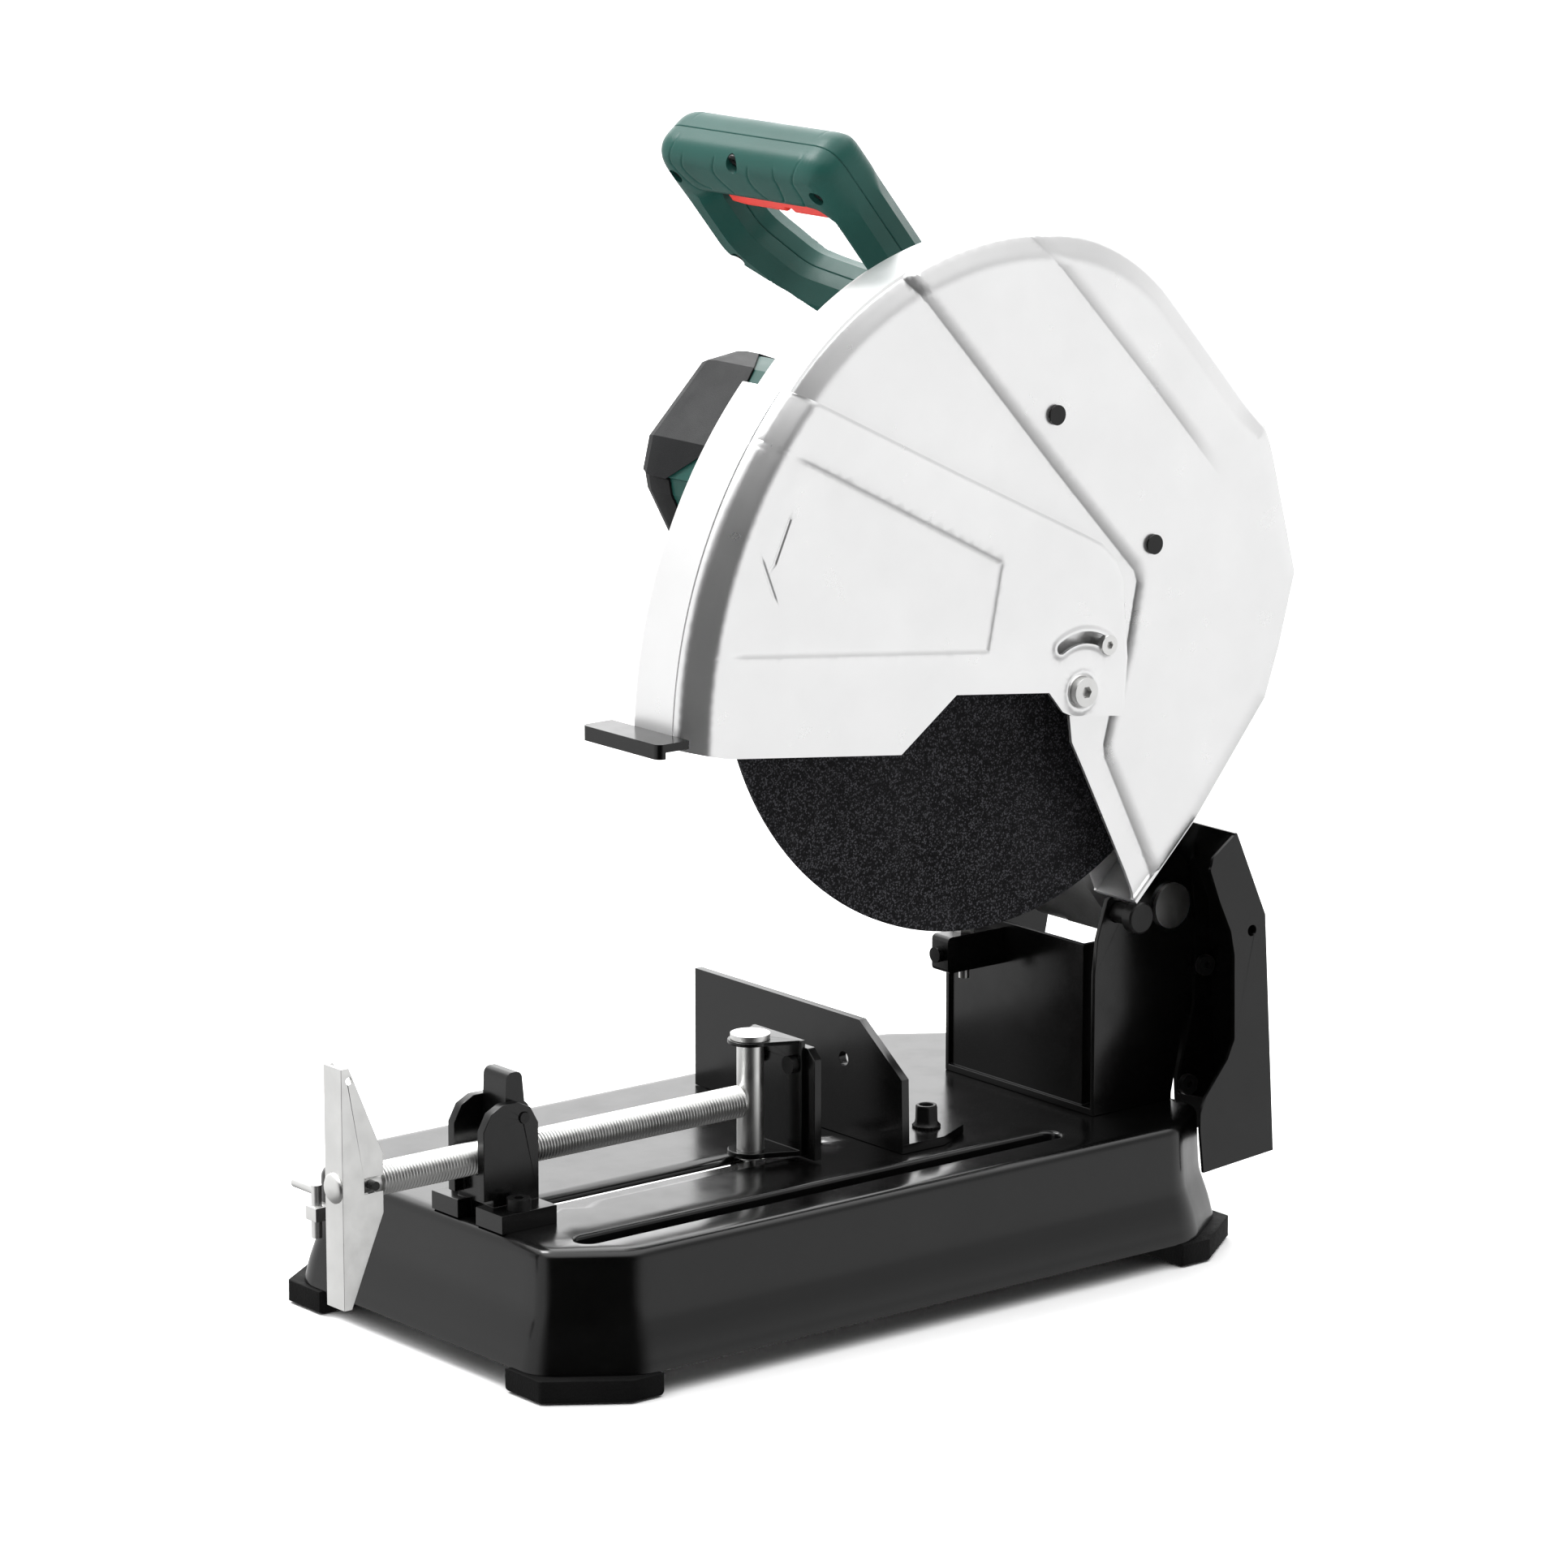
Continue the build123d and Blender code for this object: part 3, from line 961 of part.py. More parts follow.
def main():
    os.makedirs("parts", exist_ok=True)
    key, clip = key_holder()
    nodes = {
        "base_tray": base_tray(),
        "rubber_feet": rubber_feet(),
        "hinge_bracket": hinge_bracket(),
        "bracket_bolts": bracket_bolts(),
        "hinge_shaft": hinge_shaft(),
        "shaft_ring": shaft_ring(),
        "spark_deflector": spark_deflector(),
        "deflector_screws": deflector_screws(),
        "depth_stop_block": depth_stop_block(),
        "depth_stop_bolt": depth_stop_bolt(),
        "lock_pin": lock_pin(),
        "hex_key": key,
        "key_clip": clip,
        "fence": fence(),
        "fence_bolts": fence_bolts(),
        "nut_block": nut_block(),
        "nut_block_bolts": nut_block_bolts(),
        "lever_pin": lever_pin(),
        "half_nut_lever": half_nut_lever(),
        "vise_spindle": vise_spindle(),
        "t_handle": t_handle(),
        "cross_pin": cross_pin(),
        "swivel_pin": swivel_pin(),
        "pin_guide": pin_guide(),
        "jaw_bracket": jaw_bracket(),
        "jaw_plate": jaw_plate(),
        "jaw_bolts": jaw_bolts(),
        "upper_guard": upper_guard(),
        "guard_screws": guard_screws(),
        "lower_guard": lower_guard(),
        "guard_lever": guard_lever(),
        "guard_pivot_bolt": guard_pivot_bolt(),
        "limit_pin": limit_pin(),
        "spindle": spindle(),
        "spindle_gear": spindle_gear(),
        "inner_flange": inner_flange(),
        "outer_flange": outer_flange(),
        "arbor_bolt": arbor_bolt(),
        "abrasive_disc": abrasive_disc(),
        "spindle_bearings": spindle_bearings(),
        "armature_shaft": armature_shaft(),
        "armature_core": armature_core(),
        "commutator": commutator(),
        "cooling_fan": cooling_fan(),
        "stator": stator(),
        "brush_holders": brush_holders(),
        "armature_bearings": armature_bearings(),
        "motor_housing": motor_housing(),
        "motor_end_cap": motor_end_cap(),
        "motor_screws": motor_screws(),
        "gear_case": gear_case(),
        "hinge_bushes": hinge_bushes(),
        "torsion_spring": torsion_spring(),
        "lock_button": lock_button(),
        "handle_front": handle_half(True),
        "handle_rear": handle_half(False),
        "handle_screws": handle_screws(),
        "trigger": trigger(),
        "switch_body": switch_body(),
        "cord_gland": cord_gland(),
    }
    for name, shapes in nodes.items():
        save(name, shapes)
    print(len(nodes), "nodes written")


main()
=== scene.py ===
import bmesh
import bpy
import json
import math
import numpy as np
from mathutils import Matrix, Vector
from mathutils.geometry import delaunay_2d_cdt


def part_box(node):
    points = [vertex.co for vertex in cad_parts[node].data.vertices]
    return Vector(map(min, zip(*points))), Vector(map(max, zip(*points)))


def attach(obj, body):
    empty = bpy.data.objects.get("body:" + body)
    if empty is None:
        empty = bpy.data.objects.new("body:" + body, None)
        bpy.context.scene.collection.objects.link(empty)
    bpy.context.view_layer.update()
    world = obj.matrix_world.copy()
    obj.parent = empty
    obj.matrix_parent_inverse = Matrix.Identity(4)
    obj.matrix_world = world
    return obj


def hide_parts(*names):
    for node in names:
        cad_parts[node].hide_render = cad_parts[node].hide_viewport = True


# Abrasive chop saw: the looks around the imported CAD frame. Lengths in the helpers are in
# millimetres, and y and z are counted from the centre of the wheel's free face.
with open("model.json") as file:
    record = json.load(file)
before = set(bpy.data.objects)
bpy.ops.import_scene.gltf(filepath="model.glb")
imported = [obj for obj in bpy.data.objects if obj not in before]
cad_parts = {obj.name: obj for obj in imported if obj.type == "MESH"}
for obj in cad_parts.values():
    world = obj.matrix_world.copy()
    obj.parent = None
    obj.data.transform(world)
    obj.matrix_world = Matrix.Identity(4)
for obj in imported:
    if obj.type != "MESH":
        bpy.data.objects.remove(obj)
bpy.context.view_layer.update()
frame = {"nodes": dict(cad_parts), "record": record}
MM = 0.001

_lo, _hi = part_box("abrasive_disc")
WHEEL = Vector((_hi.x, (_lo.y + _hi.y) / 2, (_lo.z + _hi.z) / 2)) / MM


# ---- camera, light and floor --------------------------------------------------------------------
CAMERA_AT = (2580.2, -2204.1, 669.6)            # from the wheel's centre, in mm
LOOK_DOWN, TURN = 12.732, 51.303                # degrees


def add_camera():
    data = bpy.data.cameras.new("camera")
    data.lens, data.sensor_width = 146.7, 36.0
    data.clip_start, data.clip_end = 0.1, 60.0
    cam = bpy.data.objects.new("camera", data)
    cam.location = (WHEEL + Vector(CAMERA_AT)) * MM
    cam.rotation_euler = (math.radians(90 - LOOK_DOWN), 0, math.radians(TURN))
    bpy.context.scene.collection.objects.link(cam)
    bpy.context.scene.camera = cam


DARK_SIDE = (0.80, -0.585, 0.10)
BACKDROP = (-0.70, 0.55, 0.45)


def add_world():
    """A white studio: dark to the front right, dim below and high on the right, bright behind and on top."""
    world = bpy.data.worlds.new("studio")
    world.use_nodes = True
    bpy.context.scene.world = world
    tree = world.node_tree
    back = tree.nodes["Background"]
    coords = tree.nodes.new("ShaderNodeTexCoord")
    split = tree.nodes.new("ShaderNodeSeparateXYZ")
    tree.links.new(coords.outputs["Generated"], split.inputs["Vector"])

    def towards(way):
        dot = tree.nodes.new("ShaderNodeVectorMath")
        dot.operation = "DOT_PRODUCT"
        dot.inputs[1].default_value = way
        tree.links.new(coords.outputs["Generated"], dot.inputs[0])
        return dot.outputs["Value"]

    front = spread(tree, towards(DARK_SIDE), 1.0, 0.012, 0.56, 0.86)
    glow = spread(tree, towards(BACKDROP), 0.0, 1.4, 0.70, 0.95)
    high = spread(tree, split.outputs["Z"], 0.0, 0.4, 0.04, 0.30)
    right = spread(tree, split.outputs["X"], 0.0, 1.0, -0.2, 0.4)
    ceiling = spread(tree, split.outputs["Z"], 0.0, 2.0, 0.55, 0.80)
    gloom = combine(tree, "MULTIPLY", high, right)
    low = spread(tree, split.outputs["Z"], 0.25, 1.0, -0.70, -0.26)
    lit = combine(tree, "SUBTRACT", 1.0, gloom)
    side = combine(tree, "MULTIPLY", lit, combine(tree, "MULTIPLY", front, low))
    total = combine(tree, "ADD", combine(tree, "ADD", side, glow), ceiling)
    tree.links.new(total, back.inputs["Strength"])
    back.inputs["Color"].default_value = (1, 1, 1, 1)
    bpy.context.scene.view_settings.view_transform = "Standard"


def combine(tree, operation, a, b):
    """A math node over two values, each a float or a node's output."""
    made = tree.nodes.new("ShaderNodeMath")
    made.operation = operation
    for socket, value in zip(made.inputs, (a, b)):
        if isinstance(value, float):
            socket.default_value = value
        else:
            tree.links.new(value, socket)
    return made.outputs["Value"]


def add_area(name, size, watts, place, aim):
    data = bpy.data.lights.new(name, "AREA")
    data.shape, data.size, data.energy = "SQUARE", size, watts
    lamp = bpy.data.objects.new(name, data)
    lamp.location = place
    lamp.rotation_euler = (Vector(aim) - Vector(place)).to_track_quat("-Z", "Y").to_euler()
    bpy.context.scene.collection.objects.link(lamp)


def add_floor():
    mesh = bpy.data.meshes.new("floor")
    far = 30.0
    corners = [(-far, -far, 0), (far, -far, 0), (far, far, 0), (-far, far, 0)]
    mesh.from_pydata(corners, [], [(0, 1, 2, 3)])
    floor = bpy.data.objects.new("floor", mesh)
    floor.location.z = -0.5 * MM
    floor.visible_glossy = False
    bpy.context.scene.collection.objects.link(floor)
    paint = bpy.data.materials.new("floor_paint")
    paint.use_nodes = True
    shader = paint.node_tree.nodes["Principled BSDF"]
    shader.inputs["Base Color"].default_value = (0.95, 0.95, 0.95, 1)
    shader.inputs["Roughness"].default_value = 0.9
    mesh.materials.append(paint)


# ---- materials ----------------------------------------------------------------------------------
def node(tree, kind, **values):
    made = tree.nodes.new(kind)
    for key, value in values.items():
        if key in made.inputs:
            made.inputs[key].default_value = value
        else:
            setattr(made, key, value)
    return made


def noise(tree, scale, detail=2.0, rough=0.5, stretch=(1, 1, 1)):
    """Noise over the object's own coordinates. Scale is in cells per metre."""
    coords = tree.nodes.new("ShaderNodeTexCoord")
    space = tree.nodes.new("ShaderNodeMapping")
    space.inputs["Scale"].default_value = stretch
    made = node(tree, "ShaderNodeTexNoise", Scale=scale, Detail=detail, Roughness=rough)
    tree.links.new(coords.outputs["Object"], space.inputs["Vector"])
    tree.links.new(space.outputs["Vector"], made.inputs["Vector"])
    return made


def spread(tree, source, low, high, a=0.3, b=0.7):
    """Maps a value to a range between two numbers, or to a colour between two colours."""
    if isinstance(low, tuple):
        ramp = tree.nodes.new("ShaderNodeValToRGB")
        first, last = ramp.color_ramp.elements
        first.position, first.color = a, (*low, 1)
        last.position, last.color = b, (*high, 1)
        tree.links.new(source, ramp.inputs["Fac"])
        return ramp.outputs["Color"]
    made = tree.nodes.new("ShaderNodeMapRange")
    for key, value in (("From Min", a), ("From Max", b), ("To Min", low), ("To Max", high)):
        made.inputs[key].default_value = value
    tree.links.new(source, made.inputs["Value"])
    return made.outputs["Result"]


def material(name, tones, roughness, grain, tone_scale=18.0, stretch=(1, 1, 1), **fixed):
    """Colour drifts between two tones, roughness between two values, and grain is bump.

    grain is (cells per metre, height in metres); fixed holds the shader's constant inputs.
    """
    made = bpy.data.materials.new(name)
    made.use_nodes = True
    tree = made.node_tree
    shader = tree.nodes["Principled BSDF"]
    for key, value in fixed.items():
        shader.inputs[key.replace("_", " ")].default_value = value
    drift = noise(tree, tone_scale, 4.0, 0.55, stretch)
    tree.links.new(spread(tree, drift.outputs["Fac"], *tones), shader.inputs["Base Color"])
    wear = noise(tree, tone_scale * 2.3, 5.0, 0.6, stretch)
    tree.links.new(spread(tree, wear.outputs["Fac"], *roughness), shader.inputs["Roughness"])
    cells, height = grain
    fine = noise(tree, cells, 3.0, 0.6, stretch)
    bump = node(tree, "ShaderNodeBump", Strength=1.0, Distance=height)
    tree.links.new(fine.outputs["Fac"], bump.inputs["Height"])
    tree.links.new(bump.outputs["Normal"], shader.inputs["Normal"])
    return made


def abrasive_material():
    """Dark resin full of grit: light and dark specks over a rough, pitted face."""
    tones = (0.003, 0.003, 0.0035), (0.006, 0.006, 0.007)
    made = material("grit", tones, (0.6, 0.85), (1400, 0.0005), IOR=1.2)
    tree = made.node_tree
    shader = tree.nodes["Principled BSDF"]
    base = shader.inputs["Base Color"].links[0].from_socket
    coords = tree.nodes.new("ShaderNodeTexCoord")
    specks = node(tree, "ShaderNodeTexVoronoi", Scale=1300.0)
    tree.links.new(coords.outputs["Object"], specks.inputs["Vector"])
    split = tree.nodes.new("ShaderNodeSeparateColor")
    tree.links.new(specks.outputs["Color"], split.inputs["Color"])
    bright = spread(tree, split.outputs["Red"], 0.0, 1.0, 0.62, 0.95)
    mix = tree.nodes.new("ShaderNodeMix")
    mix.data_type = "RGBA"
    tree.links.new(bright, mix.inputs["Factor"])
    tree.links.new(base, mix.inputs[6])
    mix.inputs[7].default_value = (0.045, 0.045, 0.05, 1)
    tree.links.new(mix.outputs[2], shader.inputs["Base Color"])
    return made


def grey(v, tint=(1, 1, 1)):
    return tuple(v * t for t in tint)


TEALS = (0.010, 0.056, 0.046), (0.013, 0.066, 0.055)
REDS = (0.66, 0.034, 0.024), (0.74, 0.044, 0.030)
BRONZES = (0.42, 0.26, 0.10), (0.5, 0.32, 0.13)
COPPERS = (0.70, 0.30, 0.16), (0.78, 0.36, 0.2)
COOL, WARM = (0.95, 1, 1.1), (1, 1, 0.985)      # tints of grey


def all_materials():
    """One material per slot of the record."""
    return {
        "coat_black": material(
            "coat_black", (grey(0.0012), grey(0.0022)), (0.16, 0.26), (900, 0.00001), IOR=1.45),
        "coat_white": material(
            "coat_white", (grey(0.86), grey(0.90)), (0.27, 0.31), (2600, 0.00002), Metallic=0.92),
        "cast_grey": material(
            "cast_grey", (grey(0.34), grey(0.46)), (0.42, 0.6), (600, 0.0003), Metallic=0.9),
        "zinc": material(
            "zinc", (grey(0.74, WARM), grey(0.84, WARM)), (0.30, 0.42), (1500, 0.00002),
            tone_scale=40.0, Metallic=1.0),
        "steel": material(
            "steel", (grey(0.42), grey(0.55)), (0.25, 0.4), (1500, 0.00003), Metallic=1.0),
        "black_steel": material(
            "black_steel", (grey(0.004), grey(0.008)), (0.3, 0.45), (1200, 0.00004), IOR=1.38),
        "wheel": abrasive_material(),
        "housing_teal": material(
            "housing_teal", TEALS, (0.30, 0.40), (1800, 0.00008), IOR=1.3),
        "cap_grey": material(
            "cap_grey", (grey(0.006, COOL), grey(0.009, COOL)), (0.42, 0.55), (1800, 0.00012), IOR=1.25),
        "switch_black": material("switch_black", (grey(0.008), grey(0.012)), (0.4, 0.5), (1500, 0.0001)),
        "trigger_red": material("trigger_red", REDS, (0.28, 0.4), (1800, 0.00005)),
        "rubber": material("rubber", (grey(0.002), grey(0.004)), (0.6, 0.78), (700, 0.0003), IOR=1.2),
        "bronze": material("bronze", BRONZES, (0.35, 0.5), (1500, 0.0001), Metallic=1.0),
        "copper": material("copper", COPPERS, (0.25, 0.4), (1500, 0.00004), Metallic=1.0),
        "core": material(
            "core", (grey(0.22), grey(0.3)), (0.4, 0.55), (900, 0.0001), stretch=(6, 1, 1), Metallic=0.9),
    }


SLOT_OF = {s["node"]: s["material_slot"] for s in frame["record"]["subparts"]}
EDGE = {"base_tray": 0.001, "hinge_bracket": 0.0007, "gear_case": 0.0012, "rubber_feet": 0.0025}
PLAIN_EDGE = 0.0004                             # bevel width of the other nodes, in metres
MERGE = 0.02 * MM


def dress_cad_nodes():
    """Every CAD node gets its slot's material, and softened edges."""
    for name, obj in frame["nodes"].items():
        obj.data.materials.clear()
        obj.data.materials.append(PAINT[SLOT_OF[name]])
        weld = obj.modifiers.new("weld", "WELD")
        weld.merge_threshold = MERGE
        bevel = obj.modifiers.new("bevel", "BEVEL")
        bevel.width, bevel.segments, bevel.limit_method = EDGE.get(name, PLAIN_EDGE), 2, "ANGLE"
        bevel.angle_limit = math.radians(40)
        bevel.harden_normals = True
        bevel.use_clamp_overlap = True
        obj.modifiers.new("normals", "WEIGHTED_NORMAL").weight = 100


# ---- mesh helpers -------------------------------------------------------------------------------
def resample(points, step, closed=False):
    """The same line with no stretch longer than step, its corners kept."""
    pts = [np.array(p, float) for p in points]
    if closed:
        pts.append(pts[0])
    made = []
    for a, b in zip(pts, pts[1:]):
        n = max(1, math.ceil(np.linalg.norm(b - a) / step))
        made += [a + (b - a) * i / n for i in range(n)]
    if not closed:
        made.append(pts[-1])
    return np.array(made)


def arc(cy, cz, r, start, stop, step=3.0):
    n = max(2, math.ceil(abs(math.radians(stop - start)) * r / step))
    angles = [math.radians(start + (stop - start) * i / n) for i in range(n + 1)]
    return [(cy + r * math.cos(a), cz + r * math.sin(a)) for a in angles]


def through(a, b, c, step=3.0):
    """Arc from a through b to c."""
    (ax, ay), (bx, by), (cx, cy) = a, b, c
    d = 2 * (ax * (by - cy) + bx * (cy - ay) + cx * (ay - by))
    ux = ((ax**2 + ay**2) * (by - cy) + (bx**2 + by**2) * (cy - ay) + (cx**2 + cy**2) * (ay - by)) / d
    uy = ((ax**2 + ay**2) * (cx - bx) + (bx**2 + by**2) * (ax - cx) + (cx**2 + cy**2) * (bx - ax)) / d
    r = math.hypot(ax - ux, ay - uy)
    t = [math.degrees(math.atan2(p[1] - uy, p[0] - ux)) for p in (a, b, c)]
    for i in (1, 2):
        while t[i] - t[i - 1] > 180:
            t[i] -= 360
        while t[i] - t[i - 1] < -180:
            t[i] += 360
    return arc(ux, uy, r, t[0], t[2], step)


def distance(points, line, closed=False):
    """Each point's distance to a line, and its place along the line as a share of the segments."""
    line = np.asarray(line, float)
    a = line if closed else line[:-1]
    b = np.roll(line, -1, 0) if closed else line[1:]
    d = b - a
    length2 = np.maximum((d**2).sum(1), 1e-12)
    p = np.asarray(points, float)[:, None, :]
    t = np.clip(((p - a) * d).sum(2) / length2, 0, 1)
    gap = np.linalg.norm(p - (a + t[..., None] * d), axis=2)
    best = gap.argmin(1)
    rows = np.arange(len(best))
    total = len(a)
    return gap[rows, best], (best + t[rows, best]) / total


def inside(points, loop):
    """Which points lie in a closed loop."""
    p, q = np.asarray(points, float), np.asarray(loop, float)
    x, y = p[:, 0, None], p[:, 1, None]
    x0, y0 = q[:, 0], q[:, 1]
    x1, y1 = np.roll(x0, -1), np.roll(y0, -1)
    span = (y0 > y) != (y1 > y)
    slope = np.where(y1 == y0, 1e-12, y1 - y0)
    return (span & (x < (x1 - x0) * (y - y0) / slope + x0)).sum(1) % 2 == 1


def offset(line, gap, closed=False):
    """The line moved to its left by gap."""
    line = np.asarray(line, float)
    ahead = np.roll(line, -1, 0) - line
    if not closed:
        ahead[-1] = ahead[-2]
    behind = np.roll(ahead, 1, 0)
    if not closed:
        behind[0] = ahead[0]
    unit = [d / np.maximum(np.linalg.norm(d, axis=1, keepdims=True), 1e-9) for d in (ahead, behind)]
    normal = np.stack([-(unit[0] + unit[1])[:, 1], (unit[0] + unit[1])[:, 0]], 1)
    size = np.maximum(np.linalg.norm(normal, axis=1, keepdims=True), 1e-6)
    normal /= size
    lean = np.clip((normal * np.stack([-unit[0][:, 1], unit[0][:, 0]], 1)).sum(1, keepdims=True), 0.35, 1)
    return line + normal * gap / lean


def triangulate(outer, holes=(), lines=(), spots=(), spacing=4.0):
    """Triangles over a plan, with the loops and lines kept as edges: points and triangles.

    spots are extra points; a grid of the given spacing fills the rest.
    """
    points, edges = [], []

    def add(line, closed):
        start = len(points)
        points.extend(map(tuple, line))
        n = len(line)
        edges.extend((start + i, start + (i + 1) % n) for i in range(n if closed else n - 1))

    add(outer, True)
    for hole in holes:
        add(hole, True)
    for line in lines:
        add(line, False)
    fixed = [(outer, True)] + [(h, True) for h in holes] + [(l, False) for l in lines]
    lo, hi = np.min(outer, 0), np.max(outer, 0)
    rows = []
    for j, v in enumerate(np.arange(lo[1] + spacing / 2, hi[1], spacing * 0.87)):
        rows += [(u, v) for u in np.arange(lo[0] + spacing * (0.25 + 0.5 * (j % 2)), hi[0], spacing)]
    grid = np.array(rows)
    clear = spacing * 0.6
    loose = [grid[np.min([distance(grid, l, c)[0] for l, c in fixed], 0) > clear]]
    if len(spots):
        spots = np.asarray(spots, float)
        loose[0] = loose[0][nearest(loose[0], spots) > clear]
        loose.append(spots[np.min([distance(spots, l, c)[0] for l, c in fixed], 0) > 0.15])
    for cloud in loose:
        keep = inside(cloud, outer)
        for hole in holes:
            keep &= ~inside(cloud, hole)
        points.extend(map(tuple, cloud[keep]))
    out = delaunay_2d_cdt([Vector(p) for p in points], edges, [], 0, 1e-4)
    xy = np.array([tuple(v) for v in out[0]])
    tris = np.array([f for f in out[2] if len(f) == 3])
    middle = xy[tris].mean(1)
    keep = inside(middle, outer)
    for hole in holes:
        keep &= ~inside(middle, hole)
    return xy, tris[keep]


def nearest(points, cloud):
    """Distance from each point to the nearest of a cloud."""
    made = np.full(len(points), 1e9)
    for i in range(0, len(cloud), 400):
        part = cloud[i:i + 400]
        gap = np.linalg.norm(points[:, None, :] - part[None], axis=2).min(1)
        made = np.minimum(made, gap)
    return made


def build(name, verts, faces, slot, body, stands_for=(), wall=0.0, flip_if=None):
    """A piece from vertices in millimetres.

    The shell is turned inside out where flip_if(bmesh) holds, and wall gives it a thickness.
    """
    mesh = bpy.data.meshes.new(name)
    mesh.from_pydata([tuple(Vector(v) * MM) for v in verts], [], [tuple(int(i) for i in f) for f in faces])
    bm = bmesh.new()
    bm.from_mesh(mesh)
    bmesh.ops.remove_doubles(bm, verts=bm.verts, dist=MERGE)
    bmesh.ops.dissolve_degenerate(bm, edges=bm.edges, dist=3 * MERGE)
    loose = [v for v in bm.verts if not v.link_faces]
    bmesh.ops.delete(bm, geom=loose, context="VERTS")
    bmesh.ops.recalc_face_normals(bm, faces=bm.faces)
    bm.faces.ensure_lookup_table()
    if flip_if is not None and flip_if(bm):
        bmesh.ops.reverse_faces(bm, faces=bm.faces)
    if wall:
        thicken(bm, wall * MM)
    bm.to_mesh(mesh)
    bm.free()
    for p in mesh.polygons:
        p.use_smooth = True
    mesh.materials.append(PAINT[slot])
    obj = bpy.data.objects.new(name, mesh)
    bpy.context.scene.collection.objects.link(obj)
    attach(obj, body)
    if stands_for:
        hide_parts(*stands_for)
    return obj


def thicken(bm, t):
    """Gives an open shell its wall thickness inwards, with crisp cut edges."""
    bm.normal_update()
    edges = [e for e in bm.edges if len(e.link_faces) == 1]
    walls = [(e, e.link_loops[0].vert) for e in edges]
    inner = {v: bm.verts.new(v.co - broad_normal(v) * t) for v in list(bm.verts)}
    for f in list(bm.faces):
        bm.faces.new([inner[v] for v in reversed(f.verts)])
    for e, a in walls:
        b = e.other_vert(a)
        bm.faces.new([b, a, inner[a], inner[b]])
    bm.normal_update()
    speck, crease = 0.02 * MM * MM, math.radians(55)
    for e in bm.edges:
        tiny = min(f.calc_area() for f in e.link_faces) < speck
        e.smooth = tiny or len(e.link_faces) != 2 or e.calc_face_angle() < crease


def broad_normal(v):
    """A vertex's normal by the areas of its faces, so that slivers don't turn it."""
    return sum((f.normal * f.calc_area() for f in v.link_faces), Vector()).normalized()


def strips(verts, rows, closed=True):
    """Adds rows of points to verts and returns the quads between them."""
    faces = []
    n = len(rows[0])
    start = len(verts)
    for row in rows:
        verts += row
    for k in range(len(rows) - 1):
        for i in range(n if closed else n - 1):
            a, b = start + k * n + i, start + k * n + (i + 1) % n
            faces.append((a, b, b + n, a + n))
    return faces


def add_sheet(verts, faces, points, tris):
    """Adds a triangulated plan's points and faces."""
    start = len(verts)
    verts += points
    faces += [tuple(t + start) for t in tris]


def add_lid(verts, faces, row):
    """Closes a row of points with one face."""
    start = len(verts)
    verts += row
    faces.append(tuple(range(start, start + len(row))))


def ring(steps):
    return [2 * math.pi * i / steps for i in range(steps)]


def soften(obj, width, angle):
    """Rounds the edges sharper than angle and evens the shading."""
    edge = obj.modifiers.new("edge", "BEVEL")
    edge.width, edge.segments, edge.limit_method = width, 2, "ANGLE"
    edge.angle_limit = math.radians(angle)
    obj.modifiers.new("normals", "WEIGHTED_NORMAL").weight = 60


def smoothstep(t):
    t = np.clip(t, 0, 1)
    return t * t * (3 - 2 * t)


def wheel_frame(x, yz):
    """(y, z) from the wheel's centre, with x from its free face, to the machine's frame in mm."""
    return [(WHEEL.x + xx, WHEEL.y + y, WHEEL.z + z) for xx, (y, z) in zip(x, yz)]


# ---- guards -------------------------------------------------------------------------------------
GUARD_T = 2.0
BACK_R = 2.0                                    # radius where the rim turns into the back plate
RIM_STEPS = (0.25, 0.9, 1.9, 3.0, 6.0, 9.0, 11.0, 12.6, 14.0, 15.6, 17.2)
ROUND = 3.0                                     # radius where a guard's rim turns into its side


def rim_profile(d, scale, depth=10.0, width=14.0):
    """How far a guard's side face drops towards its rim: a pressed bevel with soft edges."""
    t = d / (width * np.minimum(1, scale + 0.34))
    slope = np.clip(1 - t, 0, 1)
    soft = np.where(np.abs(t - 1) < 0.22, (1.22 - t) ** 2 / 0.88, slope)
    soft = np.where(t > 1.22, 0, soft)
    corner = ROUND * (1 - np.sqrt(np.clip(1 - (1 - np.clip(d / ROUND, 0, 1)) ** 2, 0, 1)))
    return depth * scale * soft + corner * np.minimum(1, scale + 0.3)


